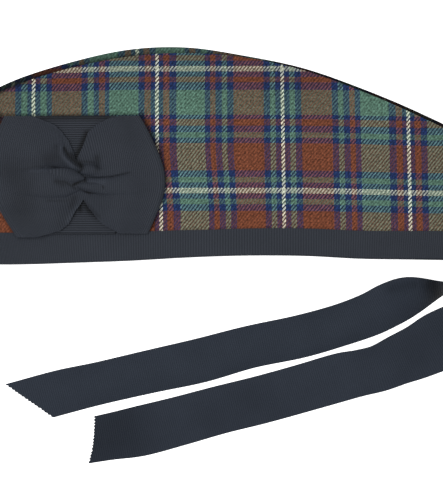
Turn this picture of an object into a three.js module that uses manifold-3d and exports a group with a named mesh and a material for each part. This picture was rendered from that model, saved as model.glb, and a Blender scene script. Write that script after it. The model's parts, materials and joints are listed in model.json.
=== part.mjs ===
// Tartan cap of the folding, boat-shaped kind, with a ribbon cockade and two ribbon tails.
// It lies folded on its right side, so the left side with the cockade faces up.
// Millimetres: +X runs from the front of the cap to its back, +Y from the rim to the crest, +Z up.
// The origin is in the middle of the flat underside.
import * as THREE from 'three';
import { LoftGeometry } from 'three/addons/geometries/LoftGeometry.js';
import { mergeVertices } from 'three/addons/utils/BufferGeometryUtils.js';
import Module from 'manifold-3d';

const { lerp, clamp, smoothstep, degToRad, euclideanModulo } = THREE.MathUtils;
const UP = new THREE.Vector3(0, 0, 1);

// Cloth and ribbon
const CLOTH = 1.5; // wall of the tartan cloth
const RIBBON = 1.0; // wall of the corded ribbon
const GAP = 0.3; // clearance between pieces that are sewn together
const BEND_STEPS = 4; // sections round a fold of cloth or ribbon

// Cap body
const HALF_LENGTH = 147.2; // folded length from front to back, halved
const RIM_LEVEL = -54.0; // the rim on the plan, at its lowest
const SIDE_HEIGHT = 112.0; // rim to crest, at the tallest place
const END_ROUND = 4.5; // how far the front and back folds round outwards
const END_RIM_Z = 10.2; // height of the upper side over the floor at the ends of the rim
const END_CREST_Z = 7.0; // the same at the ends of the crest
const RIM_LOFT = 9.0; // how much higher the upper side stands at mid-length, on the rim
const CREST_LOFT = 2.5; // the same on the crest
const BULGE = 3.0; // extra fullness half-way up the upper side
const CROWN_FOLD = 42.0; // depth of the inward fold of the crown at mid-length
const CROWN_FOLD_END = 6.0; // the same at its ends
const CROWN_FOLD_SWEEP = 0.8; // under 1 keeps the fold deep for longer towards its ends
const CROWN_BEND = 1.15; // bend radius along the bottom of that fold
const CROWN_INSET = 0.035; // share of the length by which its ends stay inside the front and back folds
const CROWN_LEAF_ROWS = [0, 0.4, 0.8]; // rows on each half of the crown, in shares of its depth
const SEAM = 0.026; // share of a fold that the sewn seam takes on each side
const FLAT_STEPS = 22; // sections along a side
const FOLD_STEPS = 4; // sections round half of the front or back fold
const RIM_ROWS = [0, 16, 22, 29, 34]; // rows of a side, as heights over the rim
const CREST_ROWS = [0.33, 0.66, 1]; // further rows, in shares of what is left up to the crest

// Band: one ribbon folded over the rim
const BAND_HEIGHT = 16.0; // up the outside, at its tallest under the cockade
const BAND_TURN_IN = 10.0; // up the inside
const BAND_REACH = CLOTH / 2 + GAP + RIBBON / 2; // from the middle of the cloth to the middle of the ribbon
const BAND_DIP = GAP + RIBBON / 2; // from the cut edge of the cloth to the middle of the fold
const BAND_SEAT = BAND_REACH + RIBBON / 2; // height of the lower cloth where the band lies under it
const BAND_EASE_START = BAND_HEIGHT + 1.0; // height over the rim at which the lower cloth leaves the band
const BAND_EASE = 12.0; // length over which it then comes down to the floor
const BAND_TOPS = [ // height up the outside, by the share of the cap's length
  { along: 0, top: 16.4 },
  { along: 0.17, top: 16.2 },
  { along: 0.5, top: 13.5 },
  { along: 0.87, top: 14.6 },
  { along: 1, top: 15.0 },
];

// Cockade
const COCKADE = { x: -82.0, y: -9.3 };
const COCKADE_CLEAR = 6.0; // it stays at the band's height up to this far above the band
const COCKADE_EASE = 8.0; // length over which it then comes down to the cloth
const BACKING_HALF_WIDTH = 21.8;
const BACKING_HALF_HEIGHT = 31.9;
const BACKING_SHIFT = { x: -2.0, y: 1.0 }; // from the middle of the cockade
const BACKING_STEPS = { up: 8, across: 6 }; // sections of each layer
const BACKING_LOW = GAP + RIBBON / 2; // middle of its rear layer over the cap
const BACKING_HIGH = BACKING_LOW + RIBBON + GAP; // middle of its front layer over the cap
const BOW_HALF_LENGTH = 44.7; // to the start of the end bends
const BOW_END_ROUND = 3.0; // how far the end bends reach
const BOW_END_BOW = 9.7; // how much the corners stand back from the middle of each end
const BOW_LEAN = -2.5; // how far the upper corners lean to the front
const BOW_TUCK = { frontLow: 2.2, backHigh: 1.8, backLow: 2.2 }; // how far the corners are drawn in
const BOW_TUCK_START = { along: 0.5, across: 0.15 }; // where that begins, in shares of the bow
const BOW_BACK_SHORT = 1.2; // how much less the back loop reaches out than the front one
const PINCH_LEAN = 0.2; // how far the gathered middle leans, for each millimetre up or down
const PINCH_REACH = 12.0; // distance from the knot over which that lean fades out
const BOW_LOW = BACKING_HIGH + RIBBON + 2 * GAP; // middle of the rear layer over the cap, on the backing
const BOW_BESIDE = 1.6; // the same beside the backing, where the loops rest on the cap
const BOW_DROOP = { start: 2.5, end: 13.0 }; // distance from the backing over which it comes down
const BOW_PRESSED = 1.3; // between the two layers under the knot
const BOW_FULL = 4.6; // between the two layers at the fullest place
const BOW_END = 3.4; // between the two layers at the end bends
const BOW_FULLEST = 0.5; // the fullest place, in shares from the knot to an end bend
const BOW_EDGE_DROP = 1.8; // how far the ribbon edges curl down
const BOW_ROWS = [-1, -0.75, -0.55, -0.38, -0.22, 0, 0.16, 0.35, 0.55, 0.78, 1]; // shares of the half height
const BOW_SECTIONS = [0.05, 0.15, 0.24, 0.34, 0.48, 0.72, 1]; // shares from the knot to an end bend
const PLEAT_DEPTH = 1.5;
const PLEAT_WIDTH = 0.13; // share of the half height
const PLEATS = [0.16, -0.38]; // places of the two pleats, in shares of the half height
const PLEAT_START = 0.05; // where a pleat begins, in shares from the knot to an end bend
const PLEAT_DEEPEST = 0.3; // where it is at its deepest
const KNOT_WALL = 1.2;
const KNOT_STEPS = { along: 8, across: 4 }; // sections of each turn
const KNOT_TAPER = 0.35; // how much narrower a turn of the knot is at its ends
const KNOT_EDGE_DROP = 0.8; // share of its rise that a turn loses at its edges

// Tails
const TAIL_STEPS = { along: 46, across: 4 }; // sections of a tail

// Finish
const TARTAN = { color: 0x5a5b50, roughness: 0.9, metalness: 0 };
const BLACK_RIBBON = { color: 0x2f353c, roughness: 0.7, metalness: 0 };

// Sections of a side from front to back.
// farRise is how far the lower side's crest stands beyond the upper one's.
const SIDE = [
  { rimX: -142.8, rimY: -56.1, crestX: -143.0, crestY: 12.0, farRise: 0.3 },
  { rimX: -128.1, rimY: -56.0, crestX: -136.5, crestY: 29.5, farRise: 2.6 },
  { rimX: -109.0, rimY: -55.8, crestX: -121.5, crestY: 38.7, farRise: 3.4 },
  { rimX: -84.5, rimY: -55.0, crestX: -92.7, crestY: 48.5, farRise: 3.5 },
  { rimX: -54.5, rimY: -53.9, crestX: -57.2, crestY: 56.0, farRise: 4.2 },
  { rimX: -24.5, rimY: -52.2, crestX: -24.5, crestY: 58.1, farRise: 3.6 },
  { rimX: 8.2, rimY: -51.1, crestX: 8.2, crestY: 55.7, farRise: 1.4 },
  { rimX: 40.9, rimY: -51.3, crestX: 40.9, crestY: 48.4, farRise: 1.7 },
  { rimX: 70.9, rimY: -52.8, crestX: 73.6, crestY: 36.5, farRise: 2.1 },
  { rimX: 98.1, rimY: -53.2, crestX: 103.6, crestY: 23.4, farRise: 2.5 },
  { rimX: 122.6, rimY: -53.6, crestX: 127.0, crestY: 11.2, farRise: 2.4 },
  { rimX: 142.2, rimY: -54.2, crestX: 141.2, crestY: -3.4, farRise: 0.8 },
];

// Sections of a tail from the back of the cap to its cut end. tilt is 90 where it stands on its edge,
// wide is its width as it lies, lift raises it off the floor and arch raises its middle.
const TAIL_UPPER = [
  { x: 149.55, y: -40.0, tilt: 90, wide: 11.0, lift: 0.6, arch: 0.0 },
  { x: 149.55, y: -53.0, tilt: 90, wide: 13.0, lift: 0.4, arch: 0.0 },
  { x: 147.4, y: -59.6, tilt: 90, wide: 18.0, lift: 0.2, arch: 0.0 },
  { x: 140.0, y: -63.6, tilt: 89, wide: 23.0, lift: 0.0, arch: 0.0 },
  { x: 128.5, y: -67.0, tilt: 84, wide: 27.0, lift: 0.0, arch: 0.0 },
  { x: 115.5, y: -70.5, tilt: 68, wide: 27.0, lift: 0.0, arch: 0.2 },
  { x: 98.1, y: -75.2, tilt: 28, wide: 27.0, lift: 0.0, arch: 0.8 },
  { x: 87.2, y: -79.3, tilt: 15, wide: 26.0, lift: 0.4, arch: 1.6 },
  { x: 76.3, y: -84.4, tilt: 8, wide: 24.0, lift: 1.0, arch: 2.6 },
  { x: 60.0, y: -90.3, tilt: 3, wide: 23.0, lift: 0.8, arch: 3.2 },
  { x: 38.2, y: -96.5, tilt: 0, wide: 23.4, lift: 0.0, arch: 3.0 },
  { x: 10.9, y: -102.2, tilt: 0, wide: 23.2, lift: 0.0, arch: 3.0 },
  { x: -16.4, y: -109.6, tilt: 0, wide: 24.2, lift: 0.6, arch: 2.4 },
  { x: -43.6, y: -115.6, tilt: 0, wide: 23.5, lift: 0.2, arch: 2.8 },
  { x: -70.9, y: -121.9, tilt: 0, wide: 23.2, lift: 0.0, arch: 2.8 },
  { x: -92.7, y: -127.0, tilt: 0, wide: 24.4, lift: 0.2, arch: 2.0 },
  { x: -119.2, y: -134.3, tilt: 0, wide: 24.6, lift: 0.4, arch: 1.4 },
];
const TAIL_LOWER = [
  { x: 150.85, y: -40.0, tilt: 90, wide: 11.0, lift: 0.6, arch: 0.0 },
  { x: 150.85, y: -54.0, tilt: 90, wide: 14.0, lift: 0.4, arch: 0.0 },
  { x: 153.5, y: -66.0, tilt: 90, wide: 20.0, lift: 0.1, arch: 0.0 },
  { x: 153.0, y: -78.0, tilt: 82, wide: 26.0, lift: 0.0, arch: 0.0 },
  { x: 144.5, y: -86.5, tilt: 60, wide: 29.0, lift: 0.0, arch: 0.2 },
  { x: 130.5, y: -90.8, tilt: 24, wide: 32.0, lift: 0.0, arch: 0.4 },
  { x: 115.5, y: -98.3, tilt: 9, wide: 33.0, lift: 0.0, arch: 0.6 },
  { x: 103.6, y: -104.4, tilt: 4, wide: 30.0, lift: 0.6, arch: 0.9 },
  { x: 92.7, y: -109.0, tilt: 0, wide: 27.6, lift: 1.2, arch: 1.4 },
  { x: 81.8, y: -113.7, tilt: 0, wide: 25.6, lift: 1.6, arch: 2.2 },
  { x: 70.9, y: -116.4, tilt: 0, wide: 25.4, lift: 1.2, arch: 2.2 },
  { x: 59.9, y: -118.9, tilt: 0, wide: 26.6, lift: 0.6, arch: 1.2 },
  { x: 38.2, y: -125.2, tilt: 0, wide: 26.4, lift: 0.0, arch: 1.0 },
  { x: 16.4, y: -131.2, tilt: 0, wide: 26.4, lift: 0.0, arch: 1.0 },
  { x: -5.5, y: -136.6, tilt: 0, wide: 26.4, lift: 0.2, arch: 1.0 },
  { x: -27.3, y: -142.6, tilt: 0, wide: 27.0, lift: 0.4, arch: 0.8 },
  { x: -49.1, y: -147.8, tilt: 0, wide: 26.8, lift: 0.0, arch: 0.8 },
  { x: -66.0, y: -151.3, tilt: 0, wide: 25.6, lift: 0.0, arch: 0.8 },
  { x: -80.0, y: -153.9, tilt: 0, wide: 24.6, lift: 0.4, arch: 0.6 },
];
const TAIL_UPPER_CUT = 10.2; // how far the upper corner of the cut end reaches beyond its middle
const TAIL_LOWER_CUT = -4.6;

// Half height of the bow at distances from the knot, for each of its corners.
const BOW_CORNERS = {
  frontUpper: [
    { away: 0, height: 12.5 },
    { away: 1.7, height: 19.5 },
    { away: 5.5, height: 24.4 },
    { away: 10.5, height: 27.6 },
    { away: 23.0, height: 32.6 },
    { away: 27.0, height: 33.0 },
  ],
  backUpper: [
    { away: 0, height: 8.0 },
    { away: 1.9, height: 10.9 },
    { away: 4.9, height: 15.8 },
    { away: 8.0, height: 24.0 },
    { away: 12.1, height: 28.5 },
    { away: 17.2, height: 31.3 },
    { away: 25.0, height: 33.0 },
  ],
  frontLower: [
    { away: 0, height: 12.5 },
    { away: 5.2, height: 19.0 },
    { away: 8.3, height: 25.6 },
    { away: 12.0, height: 29.2 },
    { away: 17.4, height: 31.0 },
    { away: 26.0, height: 33.0 },
  ],
  backLower: [
    { away: 0, height: 12.5 },
    { away: 6.0, height: 21.8 },
    { away: 10.8, height: 25.6 },
    { away: 16.9, height: 28.6 },
    { away: 20.5, height: 30.6 },
    { away: 30.0, height: 31.0 },
  ],
};

// Turns of ribbon that make the knot, with their middles measured from the cockade's.
const KNOT = [
  { x: -6.0, y: 0.4, angle: -8, length: 18.0, wide: 8.6, rise: 2.2 },
  { x: 6.0, y: -5.4, angle: -7, length: 17.0, wide: 6.0, rise: 1.6 },
  { x: -0.5, y: -2.2, angle: -60, length: 14.0, wide: 8.0, rise: 1.6 },
];

// One column of a table as a smooth curve over 0 to 1.
function column(table, key) {
  const places = table.map((row, i) => i / (table.length - 1));
  const curve = new THREE.CubicInterpolant(places, table.map((row) => row[key]), 1);
  return (t) => curve.evaluate(t)[0];
}

// A value of a table that runs straight from one row to the next.
function straight(table, place, key) {
  const curve = new THREE.LinearInterpolant(table.map((row) => row[place]), table.map((row) => row[key]), 1);
  return (at) => curve.evaluate(at)[0];
}

function columns(table) {
  return Object.fromEntries(Object.keys(table[0]).map((key) => [key, column(table, key)]));
}

function steps(from, to, count) {
  return Array.from({ length: count + 1 }, (_, i) => lerp(from, to, i / count));
}

// Unit normals of a grid of points. A ring closes from its last row to its first.
function normals(grid, ring) {
  const last = grid.length - 1;
  return grid.map((row, i) => row.map((point, j) => {
    const before = grid[i > 0 ? i - 1 : ring ? last : 0];
    const after = grid[i < last ? i + 1 : ring ? 0 : last];
    const along = after[j].clone().sub(before[j]);
    const across = row[Math.min(j + 1, row.length - 1)].clone().sub(row[Math.max(j - 1, 0)]);
    return along.cross(across).normalize();
  }));
}

// A wall of even thickness about a grid of points, as a loft through its cut sections.
function wall(grid, thickness, ring = false) {
  const facing = normals(grid, ring);
  const sections = grid.map((row, i) => {
    const face = (side) => row.map((p, j) => p.clone().addScaledVector(facing[i][j], side * thickness / 2));
    return [...face(-1), ...face(1).reverse()];
  });
  if (ring) {
    return new LoftGeometry([...sections, sections[0]]);
  }
  return new LoftGeometry(sections, { capStart: true, capEnd: true });
}

// Cap body
const side = columns(SIDE);

function sideLength(t) {
  return side.crestY(t) - side.rimY(t);
}

// Height of the upper side's cloth over a place on the plan.
function loft(x, y) {
  const up = clamp((y - RIM_LEVEL) / SIDE_HEIGHT, 0, 1);
  const arch = 1 - (x / HALF_LENGTH) ** 2;
  const fullness = lerp(RIM_LOFT, CREST_LOFT, up) + BULGE * Math.sin(Math.PI * up);
  return lerp(END_RIM_Z, END_CREST_Z, up) + arch * fullness;
}

// A point in the middle of the cloth. turn is 0 on the upper side and 180 degrees on the lower one.
function bodyPoint(t, turn, height) {
  const share = height / sideLength(t);
  const lower = (1 - Math.cos(turn)) / 2;
  const x = lerp(side.rimX(t), side.crestX(t), share);
  const y = lerp(side.rimY(t), side.crestY(t) + lower * side.farRise(t), share);
  const top = loft(x, y);
  const settled = smoothstep(height, BAND_EASE_START, BAND_EASE_START + BAND_EASE);
  const floor = lerp(BAND_SEAT, CLOTH / 2, settled);
  const z = (top + floor) / 2 + Math.cos(turn) * (top - floor) / 2;
  const rounding = END_ROUND * (1 - clamp(share, 0, 1) ** 3);
  return new THREE.Vector3(x + rounding * Math.sin(turn), y, z);
}

// Share of the cap's length at a place round it: 0 to 1 along the upper side, 1 to 2 round the back,
// 2 to 3 along the lower side and 3 to 4 round the front.
function alongCap(place) {
  const w = euclideanModulo(place, 4);
  return w < 1 ? w : w < 2 ? 1 : w < 3 ? 3 - w : 0;
}

// The same point by its place round the cap.
function roundPoint(place, height) {
  const w = euclideanModulo(place, 4);
  const turn = w < 1 ? 0 : w < 2 ? w - 1 : w < 3 ? 1 : w - 2;
  return bodyPoint(alongCap(place), turn * Math.PI, height);
}

function roundNormal(place, height) {
  const step = 1e-3;
  const along = roundPoint(place + step, height).sub(roundPoint(place - step, height));
  const up = roundPoint(place, height + step).sub(roundPoint(place, height - step));
  return along.cross(up).normalize();
}

// Places round the cap from the front seam to the back seam on the upper side.
const seamToSeam = [
  ...steps(-0.5 + SEAM, 0, FOLD_STEPS),
  ...steps(0, 1, FLAT_STEPS).slice(1),
  ...steps(1, 1.5 - SEAM, FOLD_STEPS).slice(1),
];

function sidePanel(shift) {
  const grid = seamToSeam.map((start) => {
    const place = start + shift;
    const mirrored = shift ? 1 - start : start;
    const length = sideLength(clamp(mirrored, 0, 1));
    const top = RIM_ROWS.at(-1);
    const rows = [...RIM_ROWS, ...CREST_ROWS.map((share) => lerp(top, length, share))];
    return rows.map((height) => roundPoint(place, height));
  });
  return wall(grid, CLOTH);
}

// The crown, folded lengthways into the cap.
function crown() {
  const inset = CLOTH + GAP;
  const grid = steps(CROWN_INSET, 1 - CROWN_INSET, FLAT_STEPS).map((t) => {
    const length = sideLength(t);
    const upper = roundPoint(t, length).addScaledVector(roundNormal(t, length), -inset);
    const lower = roundPoint(3 - t, length).addScaledVector(roundNormal(3 - t, length), -inset);
    const depth = lerp(CROWN_FOLD_END, CROWN_FOLD, Math.sin(Math.PI * t) ** CROWN_FOLD_SWEEP);
    const valley = new THREE.Vector3(upper.x, side.crestY(t) - depth, (upper.z + lower.z) / 2);
    const bend = steps(90, -90, BEND_STEPS).map((angle) => {
      const a = degToRad(angle);
      return valley.clone().add(new THREE.Vector3(0, -Math.cos(a) * CROWN_BEND, Math.sin(a) * CROWN_BEND));
    });
    const leaf = (edge, foot) => CROWN_LEAF_ROWS.map((share) => edge.clone().lerp(foot, share));
    return [...leaf(upper, bend[0]), ...bend, ...leaf(lower, bend.at(-1)).reverse()];
  });
  return wall(grid, CLOTH);
}

// The band: up the inside, round the cut edge of the rim and up the outside.
function band() {
  const under = steps(-90, 90, BEND_STEPS).map((angle) => {
    const a = degToRad(angle);
    return { height: -BAND_DIP * Math.cos(a), reach: BAND_REACH * Math.sin(a) };
  });
  const topAt = straight(BAND_TOPS, 'along', 'top');
  const profile = (top) => [
    { height: BAND_TURN_IN, reach: -BAND_REACH },
    ...under,
    { height: top / 2, reach: BAND_REACH },
    { height: top, reach: BAND_REACH },
  ];
  const half = [...steps(0, 1, FLAT_STEPS), ...steps(1, 2, 2 * FOLD_STEPS).slice(1, -1)];
  const places = [...half, ...half.map((place) => place + 2)];
  const grid = places.map((place) => profile(topAt(alongCap(place))).map(({ height, reach }) => {
    const facing = roundNormal(place, Math.max(height, 0));
    return roundPoint(place, height).addScaledVector(facing, reach);
  }));
  return wall(grid, RIBBON, true);
}

// Cockade

// Height of the cap under the cockade, with the band where the cockade overlaps it.
function seat(x, y) {
  const clear = RIM_LEVEL + BAND_HEIGHT + COCKADE_CLEAR;
  const onBand = 1 - smoothstep(y, clear, clear + COCKADE_EASE);
  return loft(x, y) + CLOTH / 2 + onBand * (GAP + RIBBON);
}

// Places along a flattened ribbon loop: its front layer, one end bend, its rear layer, the other end bend.
function loopPlaces(sections) {
  const front = sections.map((along) => ({ along, turn: 0 }));
  const end = steps(0, Math.PI, BEND_STEPS).slice(1, -1).map((turn) => ({ along: 1, turn }));
  const rear = sections.toReversed().map((along) => ({ along, turn: Math.PI }));
  const start = steps(Math.PI, 2 * Math.PI, BEND_STEPS).slice(1, -1).map((turn) => ({ along: -1, turn }));
  return [...front, ...end, ...rear, ...start];
}

function backing() {
  const bend = (BACKING_HIGH - BACKING_LOW) / 2;
  const places = loopPlaces(steps(-1, 1, BACKING_STEPS.up));
  const grid = places.map(({ along, turn }) => steps(1, -1, BACKING_STEPS.across).map((across) => {
    const x = COCKADE.x + BACKING_SHIFT.x + across * BACKING_HALF_WIDTH;
    const y = COCKADE.y + BACKING_SHIFT.y + along * (BACKING_HALF_HEIGHT - bend);
    const z = (BACKING_LOW + BACKING_HIGH) / 2 + bend * Math.cos(turn);
    return new THREE.Vector3(x, y + bend * Math.sin(turn), seat(x, y) + z);
  }));
  return wall(grid, RIBBON, true);
}

const cornerHeights = Object.fromEntries(
  Object.entries(BOW_CORNERS).map(([name, table]) => [name, straight(table, 'away', 'height')]),
);

// Half height of the bow above its middle, or below it where across is negative.
function bowHalfHeight(along, across) {
  const corner = (along < 0 ? 'front' : 'back') + (across < 0 ? 'Lower' : 'Upper');
  return cornerHeights[corner](Math.abs(along) * (BOW_HALF_LENGTH - BOW_END_BOW));
}

// Height of the bow's rear layer, which rests on the backing and, beside it, on the cap.
function bowRest(x, y) {
  const aside = Math.abs(x - COCKADE.x - BACKING_SHIFT.x) - BACKING_HALF_WIDTH;
  return seat(x, y) + lerp(BOW_LOW, BOW_BESIDE, smoothstep(aside, BOW_DROOP.start, BOW_DROOP.end));
}

// Distance between the rear and the front layer of the bow.
function bowDepth(along, across) {
  const out = Math.abs(along);
  const full = lerp(BOW_PRESSED, BOW_FULL, smoothstep(out, 0, BOW_FULLEST));
  const depth = lerp(full, BOW_END, smoothstep(out, BOW_FULLEST, 1));
  const fade = smoothstep(out, PLEAT_START, PLEAT_DEEPEST) * (1 - out);
  const pleat = PLEATS.reduce((sum, place) => sum + Math.exp(-(((across - place) / PLEAT_WIDTH) ** 2)), 0);
  const curl = BOW_EDGE_DROP * across ** 4 * smoothstep(out, 0, BOW_FULLEST);
  return depth - fade * PLEAT_DEPTH * pleat - curl;
}

// How far a place lies in an outer corner of the bow, from 0 to 1.
function inCorner(out, up) {
  return smoothstep(up, BOW_TUCK_START.across, 1) * smoothstep(out, BOW_TUCK_START.along, 1);
}

// A place on the plan of the bow, drawn aslant by the gathers at the knot.
function bowPlace(along, across) {
  const y = across * bowHalfHeight(along, across);
  const reach = BOW_HALF_LENGTH - BOW_END_BOW * across ** 2;
  const gather = Math.exp(-((along * BOW_HALF_LENGTH / PINCH_REACH) ** 2));
  const backTuck = BOW_TUCK.backHigh * inCorner(along, across) + BOW_TUCK.backLow * inCorner(along, -across);
  const backShort = BOW_BACK_SHORT * smoothstep(along, BOW_TUCK_START.along, 1);
  const tuck = BOW_TUCK.frontLow * inCorner(-along, -across) - backTuck - backShort;
  const x = along * reach + BOW_LEAN * across * Math.abs(along) - PINCH_LEAN * y * gather + tuck;
  return { x: COCKADE.x + x, y: COCKADE.y + y };
}

function bow() {
  const sections = [...BOW_SECTIONS.map((share) => -share).reverse(), ...BOW_SECTIONS];
  const grid = loopPlaces(sections).map(({ along, turn }) => BOW_ROWS.map((across) => {
    const { x, y } = bowPlace(along, across);
    const depth = bowDepth(along, across) / 2;
    const z = bowRest(x, y) + depth + depth * Math.cos(turn);
    return new THREE.Vector3(x + BOW_END_ROUND * Math.sin(turn), y, z);
  }));
  return wall(grid, RIBBON, true);
}

// Height of the bow's front face over a place on the plan near the knot.
function bowFront(x, y) {
  const along = (x - COCKADE.x) / BOW_HALF_LENGTH;
  const across = clamp((y - COCKADE.y) / bowHalfHeight(along, y - COCKADE.y), -1, 1);
  return bowRest(x, y) + bowDepth(along, across) + RIBBON / 2;
}

// One turn of ribbon laid aslant over the middle of the bow.
function knotTurn({ x, y, angle, length, wide, rise }) {
  const a = degToRad(angle);
  const grid = steps(-1, 1, KNOT_STEPS.along).map((along) => steps(-1, 1, KNOT_STEPS.across).map((across) => {
    const forward = along * length / 2;
    const aside = across * (1 - KNOT_TAPER * along ** 2) * wide / 2;
    const px = COCKADE.x + x + Math.cos(a) * forward - Math.sin(a) * aside;
    const py = COCKADE.y + y + Math.sin(a) * forward + Math.cos(a) * aside;
    const dome = rise * (1 - along ** 2) * (1 - KNOT_EDGE_DROP * across ** 2);
    return new THREE.Vector3(px, py, bowFront(px, py) + 2 * GAP + KNOT_WALL / 2 + dome);
  }));
  return wall(grid, KNOT_WALL);
}

// A ribbon tail that twists from its edge to lying flat. cut slants its free end.
function tail(table, cut) {
  const row = columns(table);
  const path = new THREE.SplineCurve(table.map(({ x, y }) => new THREE.Vector2(x, y)));
  const length = path.getLength();
  const end = 1 - Math.abs(cut) / length;
  const grid = steps(0, 1, TAIL_STEPS.along).map((along) => steps(-1, 1, TAIL_STEPS.across).map((across) => {
    const t = path.getUtoTmapping(along * (end + across * cut / length));
    const middle = path.getPoint(t);
    const heading = path.getTangent(t);
    const tilt = degToRad(Math.max(row.tilt(t), 0));
    const half = row.wide(t) / 2;
    const lateral = new THREE.Vector3(heading.y, -heading.x, 0);
    const arch = Math.max(row.arch(t), 0);
    const lift = Math.max(row.lift(t), 0);
    const height = half * Math.sin(tilt) * (1 + across) + arch * (1 - across ** 2);
    return new THREE.Vector3(middle.x, middle.y, RIBBON / 2)
      .addScaledVector(lateral, across * half * Math.cos(tilt))
      .addScaledVector(UP, height + lift);
  }));
  return wall(grid, RIBBON);
}

// Joins closed geometries into one body.
const wasm = await Module();
wasm.setup();

function toSolid(geometry) {
  const bare = new THREE.BufferGeometry();
  bare.setAttribute('position', geometry.getAttribute('position'));
  bare.setIndex(geometry.getIndex());
  const merged = mergeVertices(bare, 1e-4);
  const mesh = new wasm.Mesh({
    numProp: 3,
    vertProperties: new Float32Array(merged.getAttribute('position').array),
    triVerts: new Uint32Array(merged.getIndex().array),
  });
  return new wasm.Manifold(mesh);
}

function join(geometries) {
  const joined = geometries.map(toSolid).reduce((sum, solid) => sum.add(solid)).getMesh();
  const geometry = new THREE.BufferGeometry();
  geometry.setAttribute('position', new THREE.BufferAttribute(joined.vertProperties, 3));
  geometry.setIndex(new THREE.BufferAttribute(joined.triVerts, 1));
  geometry.computeVertexNormals();
  return geometry;
}

function piece(name, geometry, finish) {
  const mesh = new THREE.Mesh(geometry, new THREE.MeshStandardMaterial(finish));
  mesh.name = name;
  return mesh;
}

const cap = new THREE.Group();
cap.name = 'tartan_cap';
cap.add(
  piece('side_left', sidePanel(0), TARTAN),
  piece('side_right', sidePanel(2), TARTAN),
  piece('crown', crown(), TARTAN),
  piece('band', band(), BLACK_RIBBON),
  piece('cockade_backing', backing(), BLACK_RIBBON),
  piece('cockade_bow', bow(), BLACK_RIBBON),
  piece('cockade_knot', join(KNOT.map(knotTurn)), BLACK_RIBBON),
  piece('tail_upper', tail(TAIL_UPPER, TAIL_UPPER_CUT), BLACK_RIBBON),
  piece('tail_lower', tail(TAIL_LOWER, TAIL_LOWER_CUT), BLACK_RIBBON),
);

export default cap;
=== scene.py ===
import json
import logging
import math
from abc import ABC, abstractmethod
from dataclasses import dataclass, replace
from enum import Enum
from typing import Optional, Sequence

import bpy
import numpy as np
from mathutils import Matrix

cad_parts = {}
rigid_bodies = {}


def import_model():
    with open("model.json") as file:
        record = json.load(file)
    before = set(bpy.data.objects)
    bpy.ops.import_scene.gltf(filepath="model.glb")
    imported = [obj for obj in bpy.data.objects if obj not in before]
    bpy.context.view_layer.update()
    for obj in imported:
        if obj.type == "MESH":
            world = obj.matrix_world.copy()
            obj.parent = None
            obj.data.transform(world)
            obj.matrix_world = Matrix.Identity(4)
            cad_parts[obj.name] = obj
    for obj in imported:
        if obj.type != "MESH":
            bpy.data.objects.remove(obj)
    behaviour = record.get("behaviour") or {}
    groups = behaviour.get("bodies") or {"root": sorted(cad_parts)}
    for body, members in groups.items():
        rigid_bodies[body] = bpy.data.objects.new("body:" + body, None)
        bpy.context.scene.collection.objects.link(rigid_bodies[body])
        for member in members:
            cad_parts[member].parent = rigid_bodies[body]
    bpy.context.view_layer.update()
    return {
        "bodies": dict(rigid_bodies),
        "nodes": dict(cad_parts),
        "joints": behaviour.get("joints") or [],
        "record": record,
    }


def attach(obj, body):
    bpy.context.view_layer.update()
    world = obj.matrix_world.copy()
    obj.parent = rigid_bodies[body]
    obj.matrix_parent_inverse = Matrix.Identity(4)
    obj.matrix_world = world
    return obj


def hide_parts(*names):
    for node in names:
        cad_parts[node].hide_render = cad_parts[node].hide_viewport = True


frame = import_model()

LOG = logging.getLogger("tartan_cap")
MM = 0.001
PAINTED_SHADE_FLOOR = 0.04  # share of the colour left where the painted shade is strongest
SEAM = 0.00001  # points nearer than this are joined where a ring closes, in metres
SMOOTH_ANGLE = math.radians(50.0)  # faces that meet at less than this are shaded as one
QUARTERS = (0.0, 1.0, 2.0, 3.0, 4.0)  # corners round the cap: front, back, back, front and the first again
Array = np.ndarray
Pair = tuple[float, float]
Line = tuple[Pair, ...]


class Slot(Enum):
    """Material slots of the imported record."""

    TARTAN = "tartan_cloth"
    RIBBON = "corded_ribbon"


class Held(Enum):
    """Ways in which a sheet of cloth is held."""

    STRETCHED = "stretched"
    FOLDED = "folded"
    GATHERED = "gathered"
    LAID = "laid"


def lerp(start: Array, end: Array, share: Array) -> Array:
    """Returns the value at a share of the way from start to end."""
    return start + (end - start) * share


def smoothstep(value: Array, low: float, high: float) -> Array:
    """Returns a soft step from 0 at low to 1 at high."""
    share = np.clip((value - low) / (high - low), 0.0, 1.0)
    return share * share * (3.0 - 2.0 * share)


def rows(*columns: Array) -> Array:
    """Returns columns of numbers as rows, one for each place."""
    return np.stack(np.broadcast_arrays(*columns), axis=-1)


def unit(vectors: Array) -> Array:
    """Returns rows of vectors at length one."""
    return vectors / np.maximum(np.linalg.norm(vectors, axis=-1, keepdims=True), 1e-12)


class Column:
    """One column of a table of sections, as a smooth curve over 0 to 1."""

    def __init__(self, values: Sequence[float]) -> None:
        """Keeps the column's numbers, in the order of the sections, and their slopes."""
        self.values = np.asarray(values, dtype=float)
        self.slopes = np.gradient(self.values)

    def __call__(self, place: Array) -> Array:
        """Returns the curve's values.

        Args:
            place: places along the table, from 0 to 1.

        Returns:
            The column's value at each place.
        """
        last = len(self.values) - 1
        at = np.clip(np.asarray(place, dtype=float), 0.0, 1.0) * last
        row = np.minimum(at.astype(int), last - 1)
        p = at - row
        v0, v1 = self.values[row], self.values[row + 1]
        m0, m1 = self.slopes[row], self.slopes[row + 1]
        return (
            (2 * p**3 - 3 * p**2 + 1) * v0
            + (p**3 - 2 * p**2 + p) * m0
            + (3 * p**2 - 2 * p**3) * v1
            + (p**3 - p**2) * m1
        )


def columns(keys: Sequence[str], table: Sequence[Sequence[float]]) -> dict[str, Column]:
    """Returns the columns of a table by their names."""
    return {key: Column([row[i] for row in table]) for i, key in enumerate(keys)}


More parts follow.
